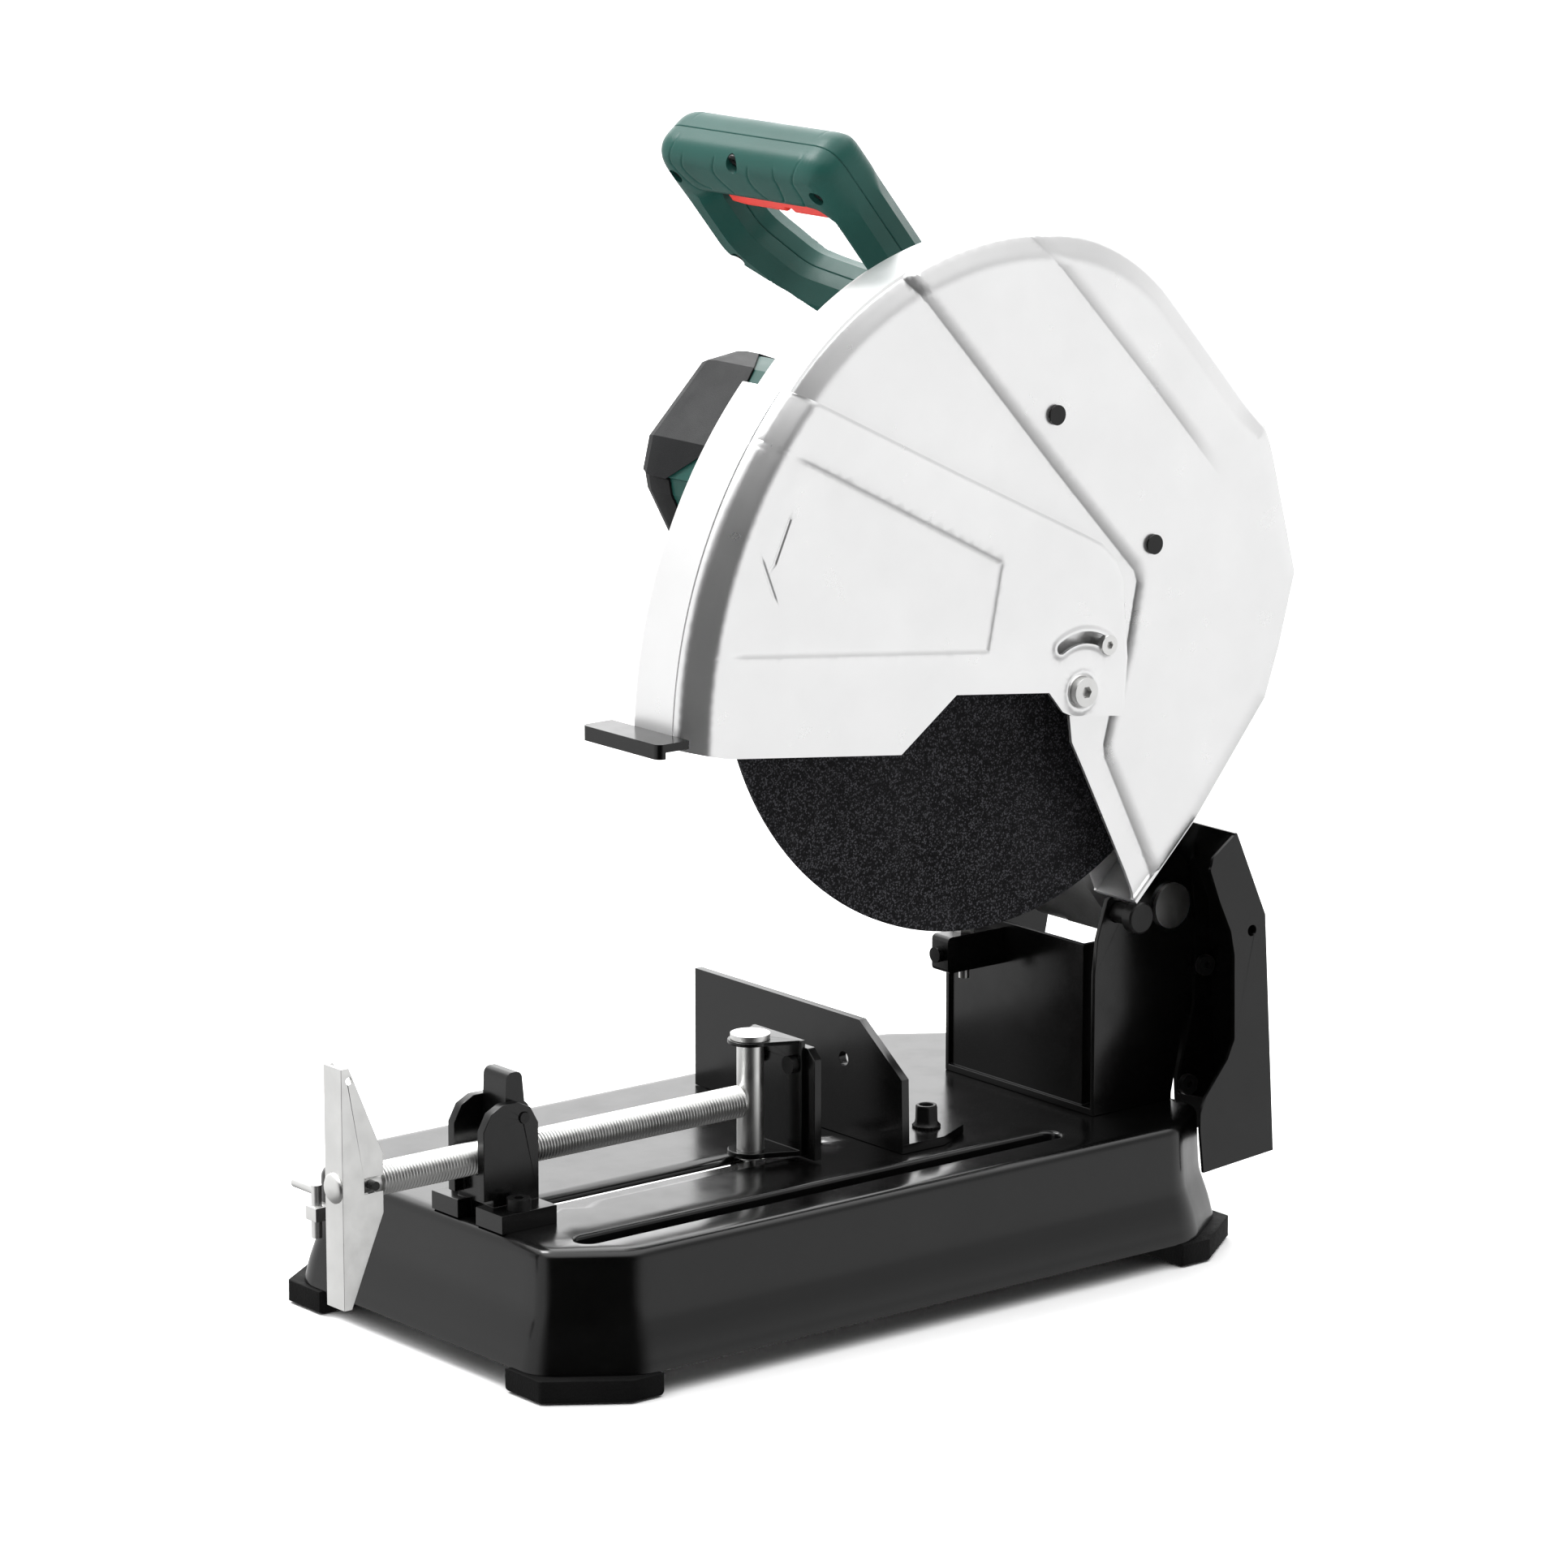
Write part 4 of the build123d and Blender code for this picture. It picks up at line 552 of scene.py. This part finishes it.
def guard_shell(name, rim, rest, x_side, x_back, scale_of, relief, lines, holes, back_holes, marks=(), **how):
    """A guard's skin: pressed side, rim wall and flat back.

    rim is the walled part of the outline and rest the open part, scale_of(share along the rim)
    is the bevel's strength, relief(points) shifts the side, and back_holes is "open" for no back.
    """
    rim = resample(rim, 3.0)
    rest = resample(rest, 3.0)
    outer = np.vstack([rim, rest[1:-1]])
    spots = list(marks)
    ahead = np.roll(outer, -1, 0)
    turn = 1 if (ahead[:, 1] + outer[:, 1]) @ (ahead[:, 0] - outer[:, 0]) < 0 else -1
    for d in RIM_STEPS:
        moved = offset(rim, d * turn)
        gap, _ = distance(moved, rim)
        spots += list(moved[gap > d * 0.93])
    xy, tris = triangulate(outer, holes, lines, spots, 5.0)
    gap, share = distance(xy, rim)
    x = x_side - rim_profile(gap, scale_of(share)) + relief(xy)
    verts = wheel_frame(x, xy)
    faces = [tuple(t) for t in tris]
    n = len(rim)
    top = x_side - rim_profile(np.zeros(n), scale_of(np.arange(n) / (n - 1)))
    levels = [top + (x_back + BACK_R - top) * k / 3 for k in range(4)]
    insets = [0.0] * 4
    for a in (30, 60, 90):
        levels.append(np.full(n, x_back + BACK_R - BACK_R * math.sin(math.radians(a))))
        insets.append(BACK_R * (1 - math.cos(math.radians(a))))
    wall = [wheel_frame(level, offset(rim, inset * turn)) for level, inset in zip(levels, insets)]
    faces += strips(verts, wall, closed=False)
    inner = offset(rim, BACK_R * turn)
    back_rest = resample([inner[-1], *rest[1:-1], inner[0]], 6.0)
    back_outer = np.vstack([inner, back_rest[1:-1]])
    if back_holes != "open":
        near_rim = np.vstack([offset(rim, (BACK_R + d) * turn) for d in (1.2, 4.0)])
        near_rim = near_rim[distance(near_rim, rim)[0] > BACK_R + 1.0]
        xy, tris = triangulate(back_outer, back_holes, (), near_rim, 14.0)
        add_sheet(verts, faces, wheel_frame(np.full(len(xy), x_back), xy), tris)

    def inside_out(bm):
        face = max(bm.faces, key=lambda f: f.calc_center_median().x)
        return face.normal.x < 0

    obj = build(name, verts, faces, flip_if=inside_out, wall=GUARD_T, **how)
    normals = obj.modifiers.new("normals", "WEIGHTED_NORMAL")
    normals.weight, normals.keep_sharp = 60, True


def step_along(xy, line, width, height):
    """A pressed step: nothing on the line's left, height on its right, over width.

    Returns the rise, and the distance to the line and place along it.
    """
    line = np.asarray(line, float)
    gap, share = distance(xy, line)
    index = np.minimum((share * (len(line) - 1)).astype(int), len(line) - 2)
    d = line[index + 1] - line[index]
    r = xy - line[index]
    t = np.clip(-np.sign(d[:, 0] * r[:, 1] - d[:, 1] * r[:, 0]) * gap / width, 0, 1)
    return height * (0.85 * (1 - (1 - t) ** 2) + 0.15 * t), gap, share


def circle(cy, cz, r, n=48):
    return [(cy + r * math.cos(a), cz + r * math.sin(a)) for a in ring(n)]


def closed_line(loop):
    """A loop as a line that ends where it starts."""
    loop = np.array(loop)
    return np.vstack([loop, loop[:1]])


PIVOT = (45.0, -46.0)                           # of the lower guard
UPPER_C, UPPER_R = (8.5, 0.0), 206.4
REAR_CORNER = (187.6, 83)


def upper_guard():
    arc_part = arc(*UPPER_C, UPPER_R, 188, 80)
    shoulder = through(arc_part[-1], (84, 188.5), (114.5, 165))
    tail = [REAR_CORNER, (210, -1), (199, -41.5), (189, -70), (137, -133), (95, -174)]
    rim = arc_part + shoulder[1:] + tail
    front = [(95, -174), (86, -154), (55.5, -94), (46, -76), (44, -60), (28, -28.7), arc_part[0]]
    fine = resample(rim, 3.0)
    corner = distance(np.array([REAR_CORNER]), fine)[1][0]

    def scale_of(share):
        return 0.20 + 0.46 * smoothstep((corner + 0.02 - share) / 0.05)

    long_rib = [(108, -166), (104, -158), (69, -88), (68, -80), (72, -65), (84, -27.5), (91, 8), (89, 14),
                (30, 77), (-61, 177), (-88, 206)]
    short_rib = [(158.5, 50), (97, 117.5), (32, 186), (5, 213)]

    def relief(xy):
        rise, _, _ = step_along(xy, long_rib, 8.0, 2.6)
        extra, gap, share = step_along(xy, short_rib, 8.0, 1.8)
        fade = smoothstep(share / 0.22) * smoothstep((70 - gap) / 55)
        return rise + extra * fade - 3.6

    lines = [resample(offset(resample(l, 3.0), -o), 3.0)[2:-2] for l in (long_rib, short_rib)
             for o in (0.0, 0.8, 2.0, 4.0, 6.0, 8.0)]
    lines = [l[inside(l, np.array(rim + front[1:-1]))] for l in lines]
    shaft = circle(0, 0, 30)
    guard_shell("upper_guard_skin", rim, front, 26.0, -12.0, scale_of, relief, lines, [], [shaft],
                slot="coat_white", body="head", stands_for=["upper_guard"])


SLOT_SPAN = (52.5, 120.5)


def arc_slot(half, start, stop):
    """Closed outline of an arc slot about the guard's pivot."""
    r = 29.7
    outer = arc(*PIVOT, r + half, start, stop, 1.2)
    inner = arc(*PIVOT, r - half, stop, start, 1.2)
    end = [PIVOT[0] + r * math.cos(math.radians(stop)), PIVOT[1] + r * math.sin(math.radians(stop))]
    begin = [PIVOT[0] + r * math.cos(math.radians(start)), PIVOT[1] + r * math.sin(math.radians(start))]
    cap_end = arc(*end, half, stop, stop + 180, 1.0)[1:-1]
    cap_begin = arc(*begin, half, start + 180, start + 360, 1.0)[1:-1]
    return outer + cap_end + inner + cap_begin


def lower_guard():
    rim = arc(*PIVOT, 270.0, 179.5, 137)
    flap = [rim[-1], (-41, 83), (49.4, 39.1), (60, 33.5), (70, 24), (75.5, 12), (79.3, -32), (77.5, -55),
            (75, -63.6), (39, -59.2), (32, -56), (22, -44), (-43.6, -36.5), (-81.8, -64), (-200, -50), rim[0]]
    slot_half = 3.4
    slot = arc_slot(slot_half, *SLOT_SPAN)
    eye = circle(*PIVOT, 4.2, 32)
    panel = [(-195, 126), (-140.3, 99.7), (-9.6, 32.7), (-19.9, -17.9), (-215, 3.5)]
    lip = resample(flap[:8], 3.0)
    shaft = [(-156.5, 72), (-167, 49)]
    head = [(-174.5, 50), (-167, 31)]

    def relief(xy):
        rise, _, _ = step_along(xy, panel, 4.5, 1.3)
        r = np.hypot(xy[:, 0] - PIVOT[0], xy[:, 1] - PIVOT[1])
        rise = 1.3 - rise * smoothstep((252 - r) / 14)
        gap, _ = distance(xy, lip)
        rise = rise - 1.0 * np.clip(1 - gap / 3.0, 0, 1) ** 2 * smoothstep((262 - r) / 6)
        for line in (shaft, head):
            gap, _ = distance(xy, line)
            rise = rise - 0.6 * smoothstep((1.3 - gap) / 0.8)
        gap, _ = distance(xy, slot, True)
        rise = rise + 1.0 * smoothstep((4.2 - gap) / 3.4)
        boss = 1.0 * smoothstep((3.2 - np.abs(r - 10.5)) / 2.4) - 1.2 * smoothstep((9.0 - r) / 2.0)
        return rise + boss

    lines = [resample(offset(resample(panel, 3.0), -o), 3.0)[2:-2] for o in (0.0, 1.5, 3.0, 4.5)]
    lines += [resample(l, 0.8) for l in (shaft, head)]
    lines += [closed_line(circle(*PIVOT, r)) for r in (6.2, 7.8, 9.0, 10.5, 12.0, 13.6)]
    spots = [p for d in (0.7, 1.4, 2.2, 3.1) for k in (-1, 1) for p in offset(lip, d * k)]
    for d in (0.5, 0.9, 1.3, 1.8):
        for l in (shaft, head):
            for s in (-d, d):
                spots += list(offset(resample(l, 0.8), s))
    lines += [closed_line(arc_slot(slot_half + d, *SLOT_SPAN)) for d in (0.9, 1.8, 2.8, 4.2)]
    guard_shell("lower_guard_skin", rim, flap, 29.5, -17.0, lambda share: np.ones_like(share), relief,
                lines, [slot, eye], "open", marks=spots, slot="coat_white", body="guard_flap",
                stands_for=["lower_guard"])


# ---- handle -------------------------------------------------------------------------------------
GRIP = (-56.4, 236.3)                           # middle of the grip, (y, z) from the wheel's centre
TILT = math.radians(51.0)
OUT = Vector((0, math.sin(TILT), math.cos(TILT)))
DOWN = Vector((0, math.cos(TILT), -math.sin(TILT)))


def grip_point(x, s, h):
    """x from the wheel's face, s down the handle, h out of its parting plane, towards the back."""
    origin = Vector((WHEEL.x + x, WHEEL.y + GRIP[0], WHEEL.z + GRIP[1]))
    return origin + DOWN * s + OUT * h


def rounded(points, radius, steps=6):
    """Closed outline with its corners turned into short arcs."""
    made = []
    n = len(points)
    for i in range(n):
        a, p, b = (np.array(points[(i + k) % n], float) for k in (-1, 0, 1))
        ra = min(radius, 0.45 * np.linalg.norm(a - p)) / np.linalg.norm(a - p)
        rb = min(radius, 0.45 * np.linalg.norm(b - p)) / np.linalg.norm(b - p)
        start, end = p + (a - p) * ra, p + (b - p) * rb
        for k in range(steps + 1):
            t = k / steps
            made.append(tuple((1 - t) ** 2 * start + 2 * t * (1 - t) * p + t * t * end))
    return made


HANDLE_LOOP = [(-184, -19), (-52, -19), (-44, -11), (-44, 158), (-88, 158), (-106, 136), (-137, 106),
               (-184, 74), (-192, 62), (-192, -8)]
HANDLE_HOLE = [(-165, 19), (-64, 19), (-64, 92), (-106, 90), (-144, 82), (-165, 56)]
SCREW_SPOTS = [(-179, 2), (-120, -12.5), (-57, 2), (-176, 66), (-58, 120)]


def grip_height(d, s):
    """Half thickness of the handle: a round grip on top, flat struts with broad bevels below."""
    grip = 5 + 14 * np.sqrt(np.clip(1 - (1 - np.clip(d / 13.0, 0, 1)) ** 2, 0, 1))
    strut = 9 + 9 * np.clip(d / 9.0, 0, 1)
    share = smoothstep((24 - s) / 14)
    return grip * share + strut * (1 - share)


def handle_outlines():
    return [resample(rounded(loop, r), 2.2, True) for loop, r in ((HANDLE_LOOP, 9), (HANDLE_HOLE, 8))]


def handle_top(spots, outer, hole):
    """Height of the handle's surface over its parting plane at each spot."""
    spots = np.asarray(spots, float)
    gap = np.minimum(distance(spots, outer, True)[0], distance(spots, hole, True)[0])
    return grip_height(gap, spots[:, 1])


def handle_half(name, side, stands_for):
    """One moulded half, with the rubber pad's grooves and, in front, the screw pits."""
    outer, hole = handle_outlines()
    pad = [(-171, -19.5), (-175, -10), (-171, 4), (-163, 11), (-147, 15), (-118, 17), (-95, 17), (-78, 14),
           (-71, 6), (-70, -6), (-66, -14), (-61, -19.5)]
    ribs = [[(-163, -14), (-166, -5), (-161, 4), (-152, 8)], [(-135, -15), (-139, -4), (-133, 8)],
            [(-106, -13), (-110, -1), (-104, 10)], [(-84, -14), (-86, 0), (-91, 10), (-104, 12)]]
    grooves = [resample(through_all(l), 1.6) for l in [pad] + ribs]
    spots = []
    for line in grooves:
        for d in (-1.1, -0.55, 0.55, 1.1):
            spots += list(offset(line, d))
    for loop in (outer, hole):
        for d in (0.3, 0.9, 1.8, 3.2, 5.0, 7.0, 9.0, 11.0):
            for k in (-1, 1):
                moved = offset(loop, d * k, True)
                spots += list(moved[inside(moved, outer) & ~inside(moved, hole)])
    pits = [np.array(circle(x, s, 4.6, 20)) for x, s in SCREW_SPOTS] if side < 0 else []
    lines = [l[1:-1] for l in grooves]
    lines = [l[inside(l, outer)] for l in lines]
    xy, tris = triangulate(outer, [hole] + pits, lines, thin_out(spots, 0.45), 3.2)
    h = handle_top(xy, outer, hole)
    for line in grooves:
        gap, _ = distance(xy, line)
        h = h - 0.55 * (1 - smoothstep((gap - 0.15) / 0.75))
    verts = [grip_point(x, s, side * v) for (x, s), v in zip(xy, h)]
    faces = [tuple(t) for t in tris]
    for loop, into in ((outer, 1), (hole, -1)):
        area = (loop[:, 0] * np.roll(loop[:, 1], -1) - np.roll(loop[:, 0], -1) * loop[:, 1]).sum()
        inward = into if area > 0 else -into
        edge = grip_height(np.zeros(len(loop)), loop[:, 1])
        seam = offset(loop, 0.45 * inward, True)
        level = np.ones(len(loop))
        rows = [(loop, edge), (loop, level * 0.75), (loop * 0.5 + seam * 0.5, level * 0.35),
                (seam, level * 0.05)]
        faces += strips(verts, [[grip_point(x, s, side * v) for (x, s), v in zip(l, hh)] for l, hh in rows])
    for pit, (x, s) in zip(pits, SCREW_SPOTS):
        brim = [grip_point(u, v, side * w) for (u, v), w in zip(pit, handle_top(pit, outer, hole))]
        depth = handle_top([(x, s)], outer, hole)[0] - 5.0
        bottom = [grip_point(u, v, side * depth) for u, v in pit]
        faces += strips(verts, [brim, bottom])
        add_lid(verts, faces, bottom)
    normal = OUT * side

    def inside_out(bm):
        face = max(bm.faces, key=lambda f: f.calc_center_median().dot(normal))
        return face.normal.dot(normal) < 0

    obj = build(name, verts, faces, "housing_teal", "head", [stands_for], flip_if=inside_out)
    soften(obj, 0.0007, 38)


def through_all(points):
    """A smooth line through the points, by Catmull-Rom."""
    p = [np.array(q, float) for q in points]
    p = [2 * p[0] - p[1]] + p + [2 * p[-1] - p[-2]]
    made = []
    for i in range(1, len(p) - 2):
        for k in range(8):
            t = k / 8
            made.append(0.5 * (2 * p[i] + (p[i + 1] - p[i - 1]) * t
                               + (2 * p[i - 1] - 5 * p[i] + 4 * p[i + 1] - p[i + 2]) * t * t
                               + (3 * p[i] - p[i - 1] - 3 * p[i + 1] + p[i + 2]) * t ** 3))
    return made + [p[-2]]


def thin_out(spots, gap):
    """Spots with near duplicates removed."""
    seen, made = set(), []
    for p in spots:
        key = (round(p[0] / gap), round(p[1] / gap))
        if key not in seen:
            seen.add(key)
            made.append(p)
    return np.array(made)


def countersunk_screws():
    """Black screws at the bottom of the handle's pits, each with a star recess."""
    verts, faces = [], []
    outer, hole = handle_outlines()
    around = 24
    star = [(2.1 if i % 4 == 0 else 1.5) * (1 if i % 2 == 0 else 0.92) for i in range(around)]
    for x, s in SCREW_SPOTS:
        top = handle_top([(x, s)], outer, hole)[0] - 2.6
        rows = []
        for radii, h in (([4.3] * around, top - 2.3), ([4.3] * around, top - 0.5), ([3.7] * around, top),
                         (star, top), (star, top - 1.8)):
            rows.append([grip_point(x + r * math.cos(a), s + r * math.sin(a), -h)
                         for r, a in zip(radii, ring(around))])
        faces += strips(verts, rows)
        add_lid(verts, faces, rows[-1])
        add_lid(verts, faces, rows[0])
    build("handle_screw_heads", verts, faces, "black_steel", "head", ["handle_screws"])


def trigger_bar():
    """The red bar, with rounded edges and the small notch in its middle."""
    outline = [(-162.5, 17), (-67.5, 17), (-67.5, 30), (-80, 31.5), (-104, 31.5), (-109, 31.5),
               (-109.5, 28.5), (-114, 28.5), (-114.5, 31.5), (-150, 31.5), (-162.5, 30)]
    plan = resample(rounded(outline, 1.5, 3), 2.0, True)
    spots = [p for d in (0.4, 1.0, 1.8, 2.6) for k in (-1, 1) for p in offset(plan, d * k, True)]
    xy, tris = triangulate(plan, [], [], thin_out(spots, 0.4), 2.6)
    d = distance(xy, plan, True)[0]
    r = 2.4
    h = 7.6 - r + np.sqrt(np.clip(r * r - (r - np.clip(d, 0, r)) ** 2, 0, None))
    verts, faces = [], []
    for side in (-1, 1):
        add_sheet(verts, faces, [grip_point(x, s, side * v) for (x, s), v in zip(xy, h)], tris)
    rows = [[grip_point(x, s, v) for x, s in plan] for v in (-5.2, 5.2)]
    faces += strips(verts, rows)
    build("trigger_bar", verts, faces, "trigger_red", "trigger", ["trigger"])


# ---- motor --------------------------------------------------------------------------------------
CAP = [(-60, 74), (-65.4, 52), (-63.2, 51), (-61.5, 42), (-44, 10), (-28, -3), (12, -3), (44, 26), (47, 78),
       (24, 108), (1, 116), (-21, 113)]
CAP_END = -222.0
CAP_EDGE = [-158, -195, -195, -195, -195, -195, -195, -195, -195, -195, -195, -172]


def cap_ring(inset, x):
    """The motor's outline moved inwards, at one x or at one x per corner."""
    return wheel_frame(x if isinstance(x, list) else [x] * len(CAP), offset(CAP, inset, True))


def motor_cap():
    """Dark faceted cap with cooling slots in its end."""
    verts = []
    end_inset = 9.0
    stations = [(end_inset, CAP_END), (3.2, -220.5), (0.8, -214), (0.0, -206), (0.0, CAP_EDGE),
                (2.2, CAP_EDGE)]
    faces = strips(verts, [cap_ring(inset, x) for inset, x in stations])
    end = offset(CAP, end_inset, True)
    slots = []
    for i in range(6):
        z, half = 28 + 11.0 * i, 2.2
        corners = [(-36, z - half), (18, z - half), (18, z + half), (-36, z + half)]
        slots.append(np.array(rounded(corners, half, 4)))
    xy, tris = triangulate(end, slots, [], [], 9.0)
    add_sheet(verts, faces, wheel_frame(np.full(len(xy), CAP_END), xy), tris)
    for slot in slots:
        rows = [wheel_frame(np.full(len(slot), x), slot) for x in (CAP_END, CAP_END + 5.0)]
        faces += strips(verts, rows)
        add_lid(verts, faces, rows[1])
    obj = build("motor_cap_shell", verts, faces, "cap_grey", "head", ["motor_end_cap", "motor_screws"],
                flip_if=lambda bm: min(bm.faces, key=lambda f: f.calc_center_median().x).normal.x > 0)
    soften(obj, 0.0007, 14)


def field_case():
    """Teal case between the cap and the gear case, with a lip, ribs and joint lines."""
    verts = []
    stations = [(3.0, -200), (1.4, -199), (1.2, -150), (2.0, -149.6), (2.0, -148.4), (1.2, -148), (1.2, -88),
                (0.2, -86), (0.2, -63), (6.0, -62.5)]
    faces = strips(verts, [cap_ring(i, x) for i, x in stations])
    obj = build("field_case", verts, faces, "housing_teal", "head", ["motor_housing"])
    soften(obj, 0.0009, 14)


def stator_stack():
    """Laminated ring, slim enough for the case's flats."""
    lo, hi = (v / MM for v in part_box("stator"))
    y, z = (lo.y + hi.y) / 2, (lo.z + hi.z) / 2
    bore, root, tip, pitch = 33.0, 46.4, 47.0, 2.7
    plates = [(r, lo.x + 0.5 + pitch * i + e) for i in range(int((hi.x - lo.x) / pitch))
              for r, e in ((root, 0.0), (tip, 0.3), (tip, 2.1), (root, 2.4))]
    profile = [(bore, lo.x), (root, lo.x)] + plates + [(root, hi.x), (bore, hi.x), (bore, lo.x)]
    verts = []
    rows = [[(x, y + r * math.cos(a), z + r * math.sin(a)) for a in ring(64)] for r, x in profile]
    faces = strips(verts, rows)
    build("stator_stack", verts, faces, "core", "head", ["stator"])


# ---- vise ---------------------------------------------------------------------------------------
def threaded_spindle():
    """The vise spindle: two-start rounded thread, thin neck and domed end at the T-handle."""
    lo, hi = (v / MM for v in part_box("vise_spindle"))
    x, z = (lo.x + hi.x) / 2, (lo.z + hi.z) / 2
    y0, y1 = lo.y + 30.0, hi.y
    lead, starts, around, along = 4.0, 2, 24, 16
    profile = [9.0, 9.0, 8.7, 8.1, 7.9, 7.9, 8.1, 8.7]      # radii over one turn of a start
    turned = [(0.6, 0.0), (4.5, 0.5), (7.0, 1.4), (8.4, 2.7), (8.4, 2.8), (6.0, 2.9), (6.0, 29.0),
              (6.0, 29.9)]
    rows = [[(x + r * math.cos(a), lo.y + y, z + r * math.sin(a)) for a in ring(around)] for r, y in turned]
    n = int((y1 - y0) / lead * along)
    for j in range(n + 1):
        y = y0 + (y1 - y0) * j / n
        row = []
        for i, a in enumerate(ring(around)):
            phase = starts * (j / along + i / around) % 1.0 * len(profile)
            k = int(phase)
            low, high = profile[k % len(profile)], profile[(k + 1) % len(profile)]
            r = low + (high - low) * (phase - k)
            r = min(r, 7.2 + 0.5 * min(j, n - j))
            row.append((x + r * math.cos(a), y, z + r * math.sin(a)))
        rows.append(row)
    verts = []
    faces = strips(verts, rows)
    for row in (rows[0], rows[-1]):
        add_lid(verts, faces, row)
    build("spindle_thread", verts, faces, "zinc", "vise_screw", ["vise_spindle"])


PLAIN, SERRATED, HEXAGON = range(3)


def fence_bolt_heads():
    """Two flanged hexagon bolts with hollow heads, on the fence's pivot and in its slot."""
    lo, hi = (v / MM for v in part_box("fence_bolts"))
    reach = (hi.y - lo.y) / 2
    y = (lo.y + hi.y) / 2
    top, seat = hi.z, hi.z - 13.0
    profile = [(4.0, lo.z, PLAIN), (4.0, seat, PLAIN), (reach - 0.4, seat, SERRATED),
               (reach - 0.2, seat + 1.4, SERRATED), (reach - 1.6, seat + 2.6, PLAIN),
               (6.6, seat + 4.4, HEXAGON), (6.4, top - 1.2, HEXAGON), (5.6, top, PLAIN),
               (4.1, top, PLAIN), (3.6, top - 1.0, PLAIN), (3.4, top - 5.5, PLAIN)]
    verts, faces = [], []
    for x in (lo.x + reach, hi.x - reach):
        rows = []
        for r, z, kind in profile:
            row = []
            for i, a in enumerate(ring(48)):
                rr = r
                if kind == SERRATED:
                    rr -= 0.5 * (i % 2)
                if kind == HEXAGON:
                    rr = min(r, 0.89 * r / math.cos((a + math.pi / 6) % (math.pi / 3) - math.pi / 6))
                row.append((x + rr * math.cos(a), y + rr * math.sin(a), z))
            rows.append(row)
        faces += strips(verts, rows)
        for row in (rows[0], rows[-1]):
            add_lid(verts, faces, row)
    obj = build("fence_bolt_heads", verts, faces, "black_steel", "stand", ["fence_bolts"])
    soften(obj, 0.0003, 35)


# ---- base tray ----------------------------------------------------------------------------------
def tray_outline():
    lo, hi = (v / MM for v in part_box("base_tray"))
    flare, cut_x, cut_y = 10.0, 28.0, 40.0
    x0, x1, y0, y1 = lo.x + flare, hi.x - flare, lo.y + flare, hi.y - flare
    corners = [(x0 + cut_x, y0), (x1 - cut_x, y0), (x1, y0 + cut_y), (x1, y1 - cut_y), (x1 - cut_x, y1),
               (x0 + cut_x, y1), (x0, y1 - cut_y), (x0, y0 + cut_y)]
    return resample(rounded(corners, 8.0, 8), 12.0, True), lo, hi


def stadium(x, half, y0, y1, steps=14):
    """Outline of a slot along y with round ends."""
    ends = ((y1 - half, 0), (y0 + half, 180))
    return [(x + half * math.cos(a), y + half * math.sin(a)) for y, start in ends
            for a in (math.radians(start + 180 * i / steps) for i in range(steps + 1))]


def pressed_tray():
    """The tray as one pressing: rolled top edge, creased flaring walls, wheel trough and guide slot."""
    plan, lo, hi = tray_outline()
    top = hi.z
    verts = []
    roll = 6.0
    levels = [(-roll + roll * math.sin(math.radians(a)), top - roll + roll * math.cos(math.radians(a)))
              for a in (0, 18, 36, 54, 72, 90)]
    levels += [(0.5, top - 18), (1.1, top - 30), (1.7, top - 36), (2.9, top - 40), (5.0, top - 46),
               (7.0, top - 52), (8.3, top - 57), (8.9, top - 60), (9.8, top - 62.5), (10.0, lo.z)]
    faces = strips(verts, [[(x, y, z) for x, y in offset(plan, -g, True)] for g, z in levels])
    slot_lo, slot_hi = (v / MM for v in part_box("vise_spindle"))
    slot_x = (slot_lo.x + slot_hi.x) / 2
    y0, y1 = WHEEL.y - 276.0, WHEEL.y + 58.0
    trough, brim, sheet = 7.0, 2.5, 2.4
    guide = np.array(stadium(slot_x, 4.25, -163.0, 32.0))
    rim = np.array(stadium(WHEEL.x, trough + brim, y0 - brim, y1 + brim))
    near_edge = offset(plan, roll + 3.0, True)
    xy, tris = triangulate(offset(plan, roll, True), [guide, rim], [], near_edge, 16.0)
    add_sheet(verts, faces, [(x, y, top) for x, y in xy], tris)
    faces += strips(verts, [[(x, y, z) for x, y in guide] for z in (top, top - sheet)])
    steps = [(brim - brim * math.sin(math.radians(a)), top - brim + brim * math.cos(math.radians(a)))
             for a in (0, 30, 60, 90)]
    steps += [(0.0, top - 13.5), (-0.8, top - 15.3), (-2.5, top - 16.0)]
    rows = [[(x, y, z) for x, y in stadium(WHEEL.x, trough + g, y0 - g, y1 + g)] for g, z in steps]
    faces += strips(verts, rows)
    add_lid(verts, faces, rows[-1])
    build("pressed_tray", verts, faces, "coat_black", "stand", ["base_tray"],
          flip_if=lambda bm: max(bm.faces, key=lambda f: f.calc_area()).normal.z < 0)


# ---- everything, in order -----------------------------------------------------------------------
add_camera()
add_world()
add_area("key", 0.9, 45.0, (-1.2, -0.7, 2.3), (0.0, 0.0, 0.5))
add_floor()
PAINT = all_materials()
dress_cad_nodes()
upper_guard()
lower_guard()
handle_half("handle_shell_front", -1, "handle_front")
handle_half("handle_shell_rear", 1, "handle_rear")
countersunk_screws()
trigger_bar()
motor_cap()
field_case()
stator_stack()
threaded_spindle()
fence_bolt_heads()
pressed_tray()
